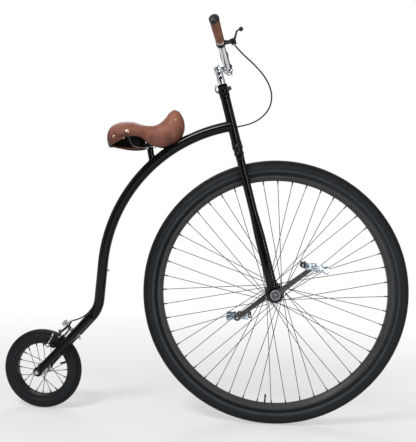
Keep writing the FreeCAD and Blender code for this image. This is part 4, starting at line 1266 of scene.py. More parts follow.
def pedal(side: Side, tilt: float, reflector_ahead: int) -> Pedal:
    """A pedal on a side, tilted by some degrees, whose reflector is at its front or back."""
    frame = LAYOUT.crank() @ shift(x=side.value * Cranks.length) @ turn(tilt - LAYOUT.crank_angle)
    return Pedal(frame, Body[f"PEDAL_{side.name}"], side, reflector_ahead)


# ---------------- steering column


@dataclass
class Crown(Assembly):
    """The fork's crown, in the fork's frame."""

    low: float = 467
    high: float = 492
    cup_low: float = 510
    leg_half: float = 44.5

    def build(self) -> None:
        """Make the crown."""
        crown, top = Shape(), self.high
        crown.slab(fillet(rectangle(28, 2 * (self.leg_half + 14)), 11, steps=6), self.low, top, edge=3.2)
        crown.lathe([(13.2, top - 1), (18, top - 1), (16.2, top + 6), (14.2, top + 9), (13.2, top + 9)],
                    steps=40, edge=1)
        crown.lathe([(13.2, top + 8.4), (15.4, top + 8.4), (15.9, self.cup_low - 0.8),
                     (13.2, self.cup_low - 0.8)],
                    steps=40, edge=0.4)
        for out in (-self.leg_half, self.leg_half):
            crown.lathe([(0, top - 0.6), (9, top - 0.6), (8, top + 1.4), (0, top + 1.8)], shift(y=out), 32,
                        edge=0.8)
        self.fit("crown_block", crown, Finish.PAINT, "fork_crown")


@dataclass
class Housings(Assembly):
    """The bearing housings at the fork's feet, in the front axle's frame."""

    half: float = 44.5
    radius: float = 24

    def build(self) -> None:
        """Make the housings and their bolts."""
        housings, bolts = Shape(), Shape()
        for out in (-self.half, self.half):
            housings.lathe([(9.05, -7.5), (19, -7.5), (self.radius, -6), (self.radius, 6), (19, 7.5),
                            (16.5, 7.5),
                            (15.5, 6.4), (12, 6.4), (11, 7.5), (9.05, 7.5)], shift(z=out), 64, edge=1)
            for angle in (48, 108, 228, 288):
                seat = shift(z=out) @ turn(angle) @ shift(x=20.4, z=math.copysign(7.3, out))
                bolts.bolt(2.2, 1.3, seat @ facing(out))
        self.fit("housing_rings", housings, Finish.PAINT, "bearing_housings")
        self.fit("housing_bolts", bolts, Finish.BLACK_METAL)


@dataclass
class Headset(Assembly):
    """The cups of the headset and the head tube's end rings, in the head tube's frame."""

    cup_low: float = 510
    low: float = 524
    high: float = 704
    collar_low: float = 712
    cup: float = 18.5

    def build(self) -> None:
        """Make the cups."""
        cups = Shape()
        foot, low, high, top, cup = self.cup_low, self.low, self.high, self.collar_low - 0.5, self.cup
        for profile, edge in (
                ([(13.6, foot), (cup - 0.6, foot), (cup, foot + 1.2), (cup, foot + 3.6),
                  (cup - 0.9, foot + 4.2),
                  (cup - 0.9, foot + 5), (cup, foot + 5.6), (cup, foot + 9), (cup - 1.5, low), (13.6, low)],
                 0.5),
                ([(13.6, high), (cup - 1.5, high), (cup, high + 3), (cup, high + 4.6),
                  (cup - 0.8, high + 5.2), (cup, high + 5.8), (cup, top), (13.6, top)], 0.4),
                ([(16.2, low + 1), (17.6, low + 1), (17.6, low + 12), (16.2, low + 12.6)], 0.5),
                ([(16.2, high - 12.6), (17.6, high - 12), (17.6, high - 1), (16.2, high - 1)], 0.5)):
            cups.lathe(profile, steps=56, edge=edge)
        self.fit("headset_rings", cups, Finish.PAINT, "headset_cups")


@dataclass
class Stem(Assembly):
    """The split collar with its lever, and the column, in the fork's frame."""

    low: float = 712
    high: float = 738
    collar: float = 17
    column: float = 12.7
    column_high: float = 779

    def build(self) -> None:
        """Make the collar, its lever and the column."""
        low, high, outer = self.low, self.high, self.collar
        collar, bolts, lever, column = Shape(), Shape(), Shape(), Shape()
        collar.lathe([(13.3, low), (outer, low), (outer, low + 10.5), (outer - 0.8, low + 11.5),
                      (outer - 0.8, low + 14.5), (outer, low + 15.5), (outer, high - 3), (outer - 3, high),
                      (12.8, high), (12.8, low + 9), (13.3, low + 8)], steps=56, edge=0.7)
        for out in (5.2, -5.2):
            collar.block((14, 7.6, 12), shift(outer + 4, out, low + 7), 2, 1)
        self.fit("collar_ring", collar, Finish.PAINT, "stem_collar")
        for ahead in (15, 23.4):
            bolts.bolt(2.9, 1.2, shift(ahead, -8.6, low + 7.4) @ turn(90, "X"))
        bolts.bolt(3, 1.5, shift(x=self.column - 0.2, z=751) @ turn(90, "Y"))
        bolts.hexagon(4.2, -0.5, 2.6, shift(-17, 9, low + 7) @ turn(-90, "X"))
        self.fit("collar_bolts", bolts, Finish.STEEL)
        path = smooth_path([(-20, 14, low + 4), (-25, 4, low + 6), (-26, -8, low + 14), (-21, -17, low + 24)])
        shares = [index / (len(path) - 1) for index in range(len(path))]
        lever.tube(path, [3.3 - 0.9 * smooth_step(0.2, 0.6, share) + 0.9 * smooth_step(0.6, 1, share)
                          for share in shares], 14, domed=True)
        lever.drum(4.2, -5, 3, shift(-19.4, 12, low + 4.5) @ turn(-90, "X"), 0.8, 24)
        self.fit("collar_lever", lever, Finish.CHROME, "stem_lever")
        pipe, top = self.column, self.column_high
        column.lathe([(0, high - 0.5), (pipe, high - 0.5), (pipe, high + 26), (pipe - 0.5, high + 26.8),
                      (pipe - 0.5, high + 28.2), (pipe, high + 29), (pipe, top), (0, top)], steps=56,
                     edge=0.3)
        self.fit("column_tube", column, Finish.CHROME, "stem_column")


@dataclass
class Clamp(Assembly):
    """The clamp that holds the bar, in the bars' frame."""

    base: float = 779
    bar_ahead: float = 31
    bar_low: float = 785

    def build(self) -> None:
        """Make the clamp, its faceplate and their bolts."""
        clamp, plate, bolts = Shape(), Shape(), Shape()
        base = self.base
        clamp.drum(15, base, base + 24, edge=3.6, steps=56, rounds=5)
        clamp.slab(fillet([(2, -12), (29, -14), (29, 14), (2, 12)], 3), base + 2.4, base + 21, edge=3)
        clamp.slab(fillet([(-15, -11), (2, -13), (2, 13), (-15, 11)], 3), base + 1, base + 22.4, edge=2)
        seat = shift(x=self.bar_ahead, z=self.bar_low)
        across = seat @ turn(-90, "X")
        back = fillet(arc(17.1, 95, 265, 18) + arc(11.2, 265, 95, 14), 0.6, steps=2)
        clamp.slab(back, -22, 22, across, 1.2)
        front = fillet(arc(17.1, -82, 82, 18) + arc(11.2, 82, -82, 14), 0.6, steps=2)
        plate.slab(front, -20, 20, across @ shift(x=0.5), 1.2)
        for rise in (-18.4, 18.4):
            for out in (-13.5, 13.5):
                lug = seat @ shift(5.6, out, rise)
                plate.block((8, 11.5, 7), lug, 2, 1.2)
                clamp.block((9, 11.5, 7), lug @ shift(x=-9), 2, 1.2)
                bolts.bolt(3.1, 3.2, lug @ shift(x=3.6) @ turn(90, "Y"))
        bolts.bolt(5.2, 3, shift(z=base + 23.6))
        self.fit("clamp_back", clamp, Finish.ALLOY, "stem_clamp")
        self.fit("clamp_face", plate, Finish.CHROME, "stem_faceplate")
        self.fit("clamp_bolts", bolts, Finish.BLACK_METAL)


@dataclass
class Handlebar(Assembly):
    """The wide bar with its grips, end caps and brake lever, in the bars' frame."""

    tube: float = 11.1
    ahead: float = 31
    low: float = 785
    high: float = 888
    sweep: float = 2
    flat: float = 30
    half: float = 297
    bend: float = 60
    grip: float = 15
    grip_length: float = 126
    cap: float = 16.3
    stitches: int = 34
    # Three points of half a stitch: height, distance from the seam and place along it.
    stitch: tuple[Point, ...] = ((-0.5, 0.3, 0), (0.35, 1.3, 0.7), (-0.7, 2.6, 1.4))

    def at(self, out: float) -> Vector:
        """A point on the bar's line.

        Args:
            out: Its distance to the left of the middle.

        Returns:
            The point.
        """
        share = max(0, abs(out) - self.flat) / (self.half - self.flat)
        return Vector((self.ahead - self.sweep * share, out, self.low + (self.high - self.low) * share))

    def build(self) -> None:
        """Make the bar, the grips and their caps."""
        bar, grips, seams, caps, rings = (Shape() for _ in range(5))
        corners = [tuple(self.at(out)) for out in (-self.half, -self.flat, self.flat, self.half)]
        angle = (self.at(self.half) - self.at(self.flat)).angle(Vector((0, 1, 0)))
        line = fillet(corners, self.bend * math.tan(angle / 2), closed=False, steps=10)
        bar.tube([Vector(point) for point in line], self.tube, 40)
        self.fit("bar_tube", bar, Finish.CHROME, "handlebar")
        long, bore, grip, cap = self.grip_length, self.tube + 0.2, self.grip, self.cap
        for way in SIDES:
            end = self.at(way * self.half)
            inward = (self.at(way * self.flat) - end).normalized()
            sleeve = aim(end + inward * 0.5, end + inward * 50)
            grips.lathe([(bore, 0), (grip + 0.1, 0), (grip + 0.5, 2), (grip + 0.2, 10),
                         (grip - 0.4, long * 0.5),
                         (grip - 1.2, long - 14), (grip - 0.9, long - 10.5), (grip - 1.6, long - 9.6),
                         (bore, long - 9.6)], sleeve, 64, edge=1)
            for step in range(self.stitches):
                along = 6 + (long - 20) * step / (self.stitches - 1)
                lift = grip + 0.1 - 1.25 * along / long
                for lean in SIDES:
                    seams.tube([sleeve @ turn(200) @ Vector((lift + rise, lean * aside, along + ahead))
                                for rise, aside, ahead in self.stitch], 0.42, 6)
            caps.lathe([(0, 0.2), (cap - 0.4, 0.2), (cap, 1.4), (cap, 4.6), (cap - 3.2, 8), (cap - 6, 8.6),
                        (cap - 6.6, 8), (cap - 7.6, 8), (cap - 8.2, 8.8), (0, 9)], aim(end, end - inward), 56,
                       edge=0.9)
            rings.drum(grip - 1, long - 9, long, sleeve, 0.9, 48, bore)
            rings.bolt(2.6, 2.4, sleeve @ turn(150) @ shift(x=grip - 2, z=long - 4.5) @ turn(90, "Y"))
        self.fit("grip_sleeves", grips, Finish.GRIP_LEATHER, "grips")
        self.fit("grip_seams", seams, Finish.THREAD)
        self.fit("grip_rings", rings, Finish.STEEL)
        self.fit("bar_caps", caps, Finish.BLACK_PLASTIC, "grip_caps")


@dataclass
class BrakeLever(Assembly):
    """The brake lever's bracket, cable barrel and blade, in the bars' frame."""

    bar: Handlebar
    seat_out: float = -169
    pivot: Point = (71, -163, 835.4)
    blade: tuple[Point, ...] = ((73, -168, 836.4), (79.5, -192, 842.5), (84, -215, 846), (87.5, -255, 844.4),
                                (94.2, -284, 841.4), (99.5, -300, 838))

    def build(self, cable_start: Vector, cable_next: Vector) -> None:
        """Make the lever.

        Args:
            cable_start: Where the cable leaves the barrel, in ride coordinates.
            cable_next: The cable's next point.
        """
        bracket, blade, bolts = Shape(), Shape(), Shape()
        seat, pivot = self.bar.at(self.seat_out), Vector(self.pivot)
        ring = aim(seat, seat + (self.bar.at(-100) - seat).normalized())
        bracket.drum(15.1, -6, 6, ring, 1.6, 48, inner=11.2)
        start = seat + Vector((12, 0, 0))
        bracket.tube(smooth_path([start, start.lerp(pivot, 0.35), start.lerp(pivot, 0.7), pivot], 3),
                     [7.4, 7.3, 7.1, 6.8, 6.4, 6.2, 6.2, 6.4, 6.8, 7.2], 20)
        bracket.drum(8.5, -10, 10, shift(*pivot), 1.8, 36)
        bracket.block((7, 9, 15), ring @ shift(x=-15.2), 2, 1)
        to_bars = LAYOUT.bars().inverted() @ LAYOUT.ride()
        first, second = to_bars @ cable_start, to_bars @ cable_next
        barrel = aim(first, first + (first - second).normalized())
        bracket.lathe([(0, 0), (3.2, 0), (3.2, 3), (4, 3.6), (4, 12), (3.4, 12.6), (3.4, 15), (4, 15.6),
                       (4, 18.5), (3, 19), (3, 22), (0, 22)], barrel, 24, edge=0.3, rounds=2)
        bracket.ridges(12, (0.7, 0.8, 7.4), 3.75, 7.9, barrel)
        self.fit("lever_body", bracket, Finish.BLACK_METAL, "lever_bracket")
        path = smooth_path(self.blade, 7)
        last = len(path) - 1
        blade.tube(path, [4.4 - 1.2 * smooth_step(0, 0.35, index / last) + 0.25 * math.cos(index * 0.9)
                          for index in range(last + 1)], 18, domed=True)
        blade.lathe(arc(7, -90, 90, 12), shift(100.4, -304, 837.2), 28)
        self.fit("lever_handle", blade, Finish.BLACK_METAL, "lever_blade")
        for up in (1, -1):
            bolts.dome(4.6, 2, shift(*(pivot + UP * (9.6 * up))) @ facing(up))
        bolts.bolt(2.8, 2, ring @ shift(x=-15.4, z=7.2))
        self.fit("lever_bolts", bolts, Finish.STEEL)


# ---------------- brake cable


@dataclass
class BrakeCable(Assembly):
    """The brake cable: a free loop past the steering and a run clipped along the backbone.

    Its points stand in ride coordinates.
    """

    radius: float = 2.5
    loop: tuple[Point, ...] = (
        (-146.3, -145.2, 1273.7), (-123, -142.5, 1247.5), (-83, -130, 1214.8), (-45, -109, 1175),
        (-24, -80, 1131), (-27.5, -53, 1090), (-50, -26, 1059), (-86, 1, 1037),
        (-124, 24.5, 1027.75), (-156, 24.5, 1021.1))
    lead: float = 32
    reach: float = 22.1
    # Distance along the backbone and angle round it.
    stations: tuple[Pair, ...] = (
        (54, -11), (110, -5), (167, 0), (225, 0), (283, 0), (341, 0), (399, 0),
        (457, 0), (515, 2), (573, 7), (631, 15), (689, 27), (741, 42), (790, 50),
        (836, 51), (876, 53), (908, 58))
    # In the rear fork's own frame.
    tail: tuple[Point, ...] = ((244, 25.5, -11.5), (221, 34, -8), (205, 43.5, -4), (195.6, 50.5, 0))
    clip_runs: tuple[int, ...] = (0, 4, 7, 10, 14)

    def frame_route(self) -> list[Vector]:
        """The points of the run along the frame, in ride coordinates."""
        start = Vector(self.loop[-1])
        heading = (start - Vector(self.loop[-2])).normalized()
        route = [start, start + heading * self.lead]
        route += [BACKBONE.beside(distance, angle, self.reach) for distance, angle in self.stations]
        stay = LAYOUT.ride().inverted() @ LAYOUT.stay()
        return route + [stay @ Vector(point) for point in self.tail]

    def line(self, name: str, route: list[Vector]) -> list[Vector]:
        """The smooth line of a route.

        Args:
            name: A name for the curve.
            route: The route's points.

        Returns:
            The points along its spline, in millimetres in the row frame.
        """
        data = bpy.data.curves.new(name, "CURVE")
        data.dimensions = "3D"
        spline = data.splines.new("NURBS")
        spline.points.add(len(route) - 1)
        place = LAYOUT.ride()
        for control, point in zip(spline.points, route):
            control.co = (*((place @ point) * MM), 1)
        spline.order_u = 3
        spline.use_endpoint_u = True
        spline.resolution_u = 10
        curve = bpy.data.objects.new(name, data)
        mesh = bpy.data.meshes.new_from_object(curve)
        points = [vertex.co / MM for vertex in mesh.vertices]
        bpy.data.meshes.remove(mesh)
        bpy.data.objects.remove(curve)
        bpy.data.curves.remove(data)
        return points

    def build(self) -> None:
        """Make the cable's two runs, its ferrules and its clips."""
        loop, run, ends, clips = Shape(), Shape(), Shape(), Shape()
        loop.tube(self.line("loop_line", [Vector(point) for point in self.loop]), self.radius, 14)
        piece = self.make("cable_free_run", loop, Finish.CABLE)
        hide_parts("brake_cable_loop")
        place = LAYOUT.ride()
        tuple((place @ Vector(self.loop[-1])) * MM)
        tuple((place @ Vector(self.loop[0])) * MM)
        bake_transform(piece)
        route = self.frame_route()
        fixed = self.line("frame_line", route)
        run.tube(fixed, self.radius, 14)
        ends.drum(3.2, 0, 9, aim(fixed[-1], fixed[-2]), 0.5, 20, 2.55)
        for number in self.clip_runs:
            middle = place @ ((route[number + 1] + route[number + 2 if number else 0]) / 2)
            nearest = min(range(1, len(fixed) - 1), key=lambda index: (fixed[index] - middle).length)
            heading = (fixed[nearest + 1] - fixed[nearest - 1]).normalized()
            seat = aim(fixed[nearest], fixed[nearest] + heading)
            clips.drum(4.2, -4.5, 4.5, seat, 0.6, 24, 2.65)
            for step in (-2.6, 0, 2.6):
                clips.lathe([(4, step - 0.6), (4.6, step - 0.3), (4.6, step + 0.3), (4, step + 0.6)], seat,
                            24, 0.1)
        self.fit("cable_fixed_run", run, Finish.CABLE, "brake_cable")
        self.fit("cable_ferrule", ends, Finish.STEEL)
        self.fit("cable_clip_rings", clips, Finish.BLACK_METAL, "cable_clips")


# ---------------- saddle


@dataclass
class Saddle(Assembly):
    """A moulded leather saddle with wings at the back and a raised nose, in ride coordinates."""

    # The hide's lower edge, from the middle of the back to the middle of the nose.
    edge: tuple[Point, ...] = (
        (-590, 0, 944), (-588.5, 22, 945), (-583, 42, 948), (-570, 62, 951.5),
        (-553, 77, 957), (-532, 85.5, 967), (-508, 84, 978), (-484, 74.5, 981.5),
        (-463, 63.5, 977), (-445, 54, 960), (-424, 46.5, 949), (-401, 40, 946.5),
        (-381, 33, 951), (-368, 23, 957), (-362, 11.5, 960), (-361, 0, 961))
    # The middle line where each of those comes up to.
    spine_x: tuple[float, ...] = (-576, -575, -571, -562, -548, -530, -508, -485, -464, -444,
                                  -423, -402, -385, -373, -366, -363)
    spine: tuple[Pair, ...] = (
        (-580, 1018.5), (-572, 1024), (-547, 1033), (-508, 1034.5), (-486, 1028), (-466, 1023.5),
        (-444, 1022), (-424, 1025.5), (-405, 1037), (-390, 1054), (-382, 1067), (-367, 1077.5))
    # How far each bulges outwards between the edge and the middle line.
    bulge: tuple[float, ...] = (9, 8.5, 7, 4.5, 2, 0.5, 0, -1, -2, -2, 0, 3.5, 12, 23, 32, 35.5)
    # Half of the pan's lower outline and of its upper one.
    pan_low: tuple[Pair, ...] = ((-586, 18), (-578, 33), (-558, 43), (-532, 46), (-506, 45), (-484, 37),
                                 (-467, 24))
    pan_high: tuple[Pair, ...] = ((-588, 40), (-574, 56), (-556, 64), (-532, 69), (-508, 68), (-488, 61),
                                  (-472, 54))
    thickness: float = 4.5
    split: int = 4
    levels: int = 22

    def ribs(self) -> list[tuple[Vector, Vector, float]]:
        """Each rib's foot, its top and its bulge, from the back to the nose along the left side."""
        places, bulges = ([(float(index), value) for index, value in enumerate(values)]
                          for values in (self.spine_x, self.bulge))
        ribs = []
        for number, foot in enumerate(smooth_path(self.edge, self.split)):
            index = number / self.split
            x = through(places, index)
            ribs.append((foot, Vector((x, 0, through(self.spine, x))), through(bulges, index)))
        return ribs

    def point(self, rib: tuple[Vector, Vector, float], level: float, way: Vector) -> Vector:
        """A point of the hide.

        Args:
            rib: The rib's foot, its top and its bulge.
            level: How far up the rib it is, from 0 to 1.
            way: The direction outwards at the rib's foot.

        Returns:
            The point.
        """
        foot, top, swell = rib
        angle = level * math.pi / 2
        inward = 1 - math.cos(angle) ** 0.8
        rise = math.sin(angle) ** 0.8 if level > 0 else 0
        place = Vector((foot.x + (top.x - foot.x) * inward, foot.y + (top.y - foot.y) * inward,
                        foot.z + (top.z - foot.z) * rise))
        round_off = 0.9 - 0.4 * smooth_step(8, 26, swell) * smooth_step(-420, -380, foot.x)
        place += way * swell * max(0, math.sin(math.pi * rise)) ** round_off
        fold = -487 + 22 * (1 - level) ** 1.3
        crease = math.exp(-((place.x - fold) / 6) ** 2) * smooth_step(0.02, 0.2, level) * (1 - level ** 4)
        line = math.exp(-((level - 0.065) / 0.018) ** 2)
        return place + way * (2.4 * crease - 0.8 * line)

    def hide(self) -> bmesh.types.BMesh:
        """The hide's outer face, with the distance from its edge stored at each point."""
        ribs = self.ribs()
        last = len(ribs) - 1
        ways = [Vector((-1, 0, 0))]
        for index in range(1, last):
            ahead = ribs[index + 1][0] - ribs[index - 1][0]
            ways.append(Vector((-ahead.y, ahead.x, 0)).normalized())
        ways.append(Vector((1, 0, 0)))
        rows = []
        for step in range(self.levels + 1):
            level = (step / self.levels) ** 1.15
            left = [self.point(rib, level, way) for rib, way in zip(ribs, ways)]
            rows.append(left + [Vector((place.x, -place.y, place.z)) for place in reversed(left[1:-1])])
        form = Shape()
        form.skin(rows, ends=False)
        depth = form.mesh.verts.layers.float.new("from_edge")
        form.mesh.verts.ensure_lookup_table()
        for number, vertex in enumerate(form.mesh.verts):
            vertex[depth] = number // len(rows[0]) / self.levels
        bmesh.ops.remove_doubles(form.mesh, verts=form.mesh.verts, dist=0.01)
        bmesh.ops.recalc_face_normals(form.mesh, faces=form.mesh.faces)
        return form.mesh

    def build(self) -> None:
        """Make the hide, its rivets and the frame under it."""
        mesh = self.hide()
        self.build_rivets(BVHTree.FromBMesh(mesh))
        bmesh.ops.solidify(mesh, geom=mesh.faces[:], thickness=self.thickness)
        lip = [edge for edge in mesh.edges if edge.calc_face_angle(0) > 1.1]
        bmesh.ops.bevel(mesh, geom=lip, offset=1.5, segments=3, profile=0.5, affect="EDGES")
        leather = Shape()
        leather.mesh.free()
        leather.mesh = mesh
        self.fit("saddle_hide", leather, Finish.LEATHER, "saddle_leather", crease=60)
        self.build_pan()

    def seats(self, tree: BVHTree, x: float, z: float, sink: float) -> list[Matrix]:
        """Where a fitting sits on each side of the hide.

        Args:
            tree: The hide's faces.
            x: Its place along the saddle.
            z: Its height.
            sink: How far it is let in.

        Returns:
            Its frames, with Z outwards.
        """
        frames = []
        for way in SIDES:
            spot, normal, _, _ = tree.ray_cast(Vector((x, way * 200, z)), Vector((0, -way, 0)))
            if spot is not None:
                outward = normal if normal.y * way > 0 else -normal
                frames.append(aim(spot - outward * sink, spot + outward))
        return frames

    def build_rivets(self, tree: BVHTree) -> None:
        """Set the rivets, the nose's eyelet rings and black discs of painted shade in their holes on the
        hide.

        Args:
            tree: The hide's faces.
        """
        rivets, washers, hole_shade = Shape(), Shape(), Shape()
        for x, z, size in ((-510, 998, 5.6), (-560, 980.5, 4.8), (-521, 973.5, 2.6)):
            for seat in self.seats(tree, x, z, 0.2):
                washers.lathe([(size * 0.5, 0), (size * 1.12, 0), (size * 1.05, 0.9), (size * 0.5, 0.9)],
                              seat, 28, 0.4)
                rivets.dome(size, size * 0.42, seat, 0.8, 28)
        for seat in self.seats(tree, -353, 1042.5, 0.4):
            rivets.lathe([(2.4, 0), (5, 0), (4.6, 1.4), (3.4, 1.9), (2.4, 1.2)], seat, 28, 0.4)
            # Painted shade: a black disc stands for each eyelet's dark hole.
            hole_shade.lathe([(0, 0.5), (2.5, 0.5), (2.5, -1), (0, -1)], seat, 20)
        self.fit("saddle_rivets", rivets, Finish.BRASS)
        self.fit("saddle_washers", washers, Finish.BRASS)
        self.fit("saddle_eyelet_hole_shade", hole_shade, Finish.BLACK_PLASTIC)

    def pan_level(self, share: float, height: float, pinch: float) -> list[Vector]:
        """One level of the pan.

        Args:
            share: How far from the lower outline to the upper one it is.
            height: Its height above the lower edge.
            pinch: How far it is pulled in.

        Returns:
            The level's points.
        """
        half = [(x + (wide - x) * share, y + (high - y) * share - pinch,
                 940 + 9 * ((x + 510) / 64) ** 2 * (1 - share) + 5 * share + height)
                for (x, y), (wide, high) in zip(self.pan_low, self.pan_high)]
        return smooth_path([*half, *((x, -y, z) for x, y, z in reversed(half)), half[0]], 3)[:-1]

    def build_pan(self) -> None:
        """Make the saddle's pan, its leather welt, its side wires and its rails' cross bolts."""
        pan, welt, wires, bolts = Shape(), Shape(), Shape(), Shape()
        pan.skin([self.pan_level(*level) for level in (
            (0, 0, 2), (0.02, 1, 0.5), (0.15, 9, 4), (0.4, 22, 10), (0.7, 36, 10), (1, 50, 6))])
        outline, rings = self.pan_level(0, 0.5, -1), []
        for index, point in enumerate(outline):
            ahead = heading_at(outline, index)
            outward = Vector((-ahead.y, ahead.x, 0)).normalized()
            rings.append([point + outward * 2.6 * x + UP * (4 * y) for x, y in circle(12)])
        welt.skin(rings, along=True)
        for way in SIDES:
            wires.tube(smooth_path([(x, way * y, z) for x, y, z in (
                (-509, 72, 980), (-505, 66, 972), (-501, 62, 959), (-492, 57, 948.5), (-470, 47, 944.5),
                (-444, 40, 946), (-424, 32, 955))], 5), 1.25, 12, domed=True)
            end = shift(-449, way * 29, 954) @ turn(-90 * way, "X")
            bolts.bolt(4.6, 3, end)
            bolts.hexagon(7.2, -2, 0.6, end)
        self.fit("saddle_pan", pan, Finish.SHELL, "saddle_base")
        self.fit("saddle_welt", welt, Finish.LEATHER)
        self.fit("saddle_wires", wires, Finish.WIRE)
        self.fit("saddle_clamp_bolts", bolts, Finish.BLACK_METAL)


# ---------------- frame and rear fork


def weld_line(middle: Vector, heading: Vector, radius: float, axis_foot: Vector, axis: Vector,
              other: float, steps: int = 40) -> list[Vector]:
    """The line where one round tube runs into another.

    Args:
        middle: A point on the first tube's axis, outside the other tube.
        heading: The first tube's direction, towards the other tube.
        radius: The first tube's radius.
        axis_foot: A point on the other tube's axis.
        axis: The other tube's direction.
        other: The other tube's radius.
        steps: How many points the line has.

    Returns:
        The closed line's points.
    """
    across = heading.orthogonal().normalized()
    up = heading.cross(across)
    line = []
    for step in range(steps):
        angle = 2 * math.pi * step / steps
        start = middle + (across * math.cos(angle) + up * math.sin(angle)) * radius
        offset = (start - axis_foot) - axis * (start - axis_foot).dot(axis)
        along = heading - axis * heading.dot(axis)
        a, b, c = along.dot(along), offset.dot(along), offset.dot(offset) - other * other
        root = max(0, b * b - a * c)
        line.append(start + heading * ((-b - math.sqrt(root)) / a))
    return line


@dataclass
class Welds(Assembly):
    """The weld beads of the frame, in ride coordinates."""

    bead: float = 1.7

    def bead_along(self, shape: Shape, line: list[Vector]) -> None:
        """Lay a rippled bead along a closed line.

        Args:
            shape: The shape that it is added to.
            line: The line.
        """
        rings = []
        for index, middle in enumerate(line):
            ahead = heading_at(line, index)
            across = ahead.orthogonal().normalized()
            size = self.bead * (1 + 0.16 * math.sin(index * 2.1))
            rings.append([middle + (across * x + ahead.cross(across) * y) * size for x, y in circle(8)])
        shape.skin(rings, along=True)

    def build(self) -> None:
        """Make the weld beads."""
        welds = Shape()
        head = LAYOUT.ride().inverted() @ LAYOUT.head()
        foot, axis = head.translation, (head.to_3x3() @ UP).normalized()
        start, ahead = BACKBONE.at(12)
        self.bead_along(welds, weld_line(start, -ahead, BACKBONE.tube, foot, axis, 16.6, 72))
        post_foot, post_top = Vector((-436, 0, 888)), Vector((-449, 0, 954))
        nearest = min((BACKBONE.at(float(distance)) for distance in range(200, 500, 2)),
                      key=lambda pair: (pair[0] - post_foot).length)
        down = (post_foot - post_top).normalized()
        self.bead_along(welds, weld_line(post_top, down, 11, *nearest, BACKBONE.tube, 48))
        self.fit("frame_welds", welds, Finish.PAINT)


@dataclass
class Dropouts(Assembly):
    """The rear fork's ends with the axle's nuts, in the rear fork's frame."""

    half: float = 58

    def build(self) -> None:
        """Make the dropouts, and the axle's nuts and washers."""
        plates, nuts, washers = Shape(), Shape(), Shape()
        outline = fillet(arc(17, 50, 310, 22) + [(24, -13.5), (44, -11.5), (44, 11.5), (24, 13.5)], 2.5)
        for side in SIDES:
            seat = shift(z=side * self.half)
            plates.slab(outline, -3, 3, seat, 0.9)
            outward = seat @ facing(side)
            washers.lathe([(5.1, 3), (12.4, 3), (12.4, 4.6), (11, 5), (5.1, 5)], outward, 40,
                          edge=0.3)
            washers.drum(9.6, 4.8, 5.6, outward, 0.2, 32, inner=5.1)
            nuts.hexagon(8.8, 5.4, 12, outward @ turn(15), 1.1)
            nuts.dome(7.4, 7, outward @ shift(z=11.6), 0.5, 32)
        self.fit("fork_ends", plates, Finish.PAINT, "rear_dropouts")
        self.fit("axle_nut_domes", nuts, Finish.CHROME, "rear_axle_nuts")
        self.fit("axle_washers", washers, Finish.BLACK_METAL)


@dataclass
class StepTread(Assembly):
    """The tread on the mounting step, in a frame at the step's foot."""

    def build(self) -> None:
        """Make the tread."""
        tread = Shape()
        for row in range(7):
            out = 14 + row * 5.6
            tread.block((25 if out < 44 else 19, 1.8, 2), shift(y=out, z=12.2), 0.7, 0.5)
        self.fit("step_tread", tread, Finish.BLACK_METAL)


# ---------------- rear brake


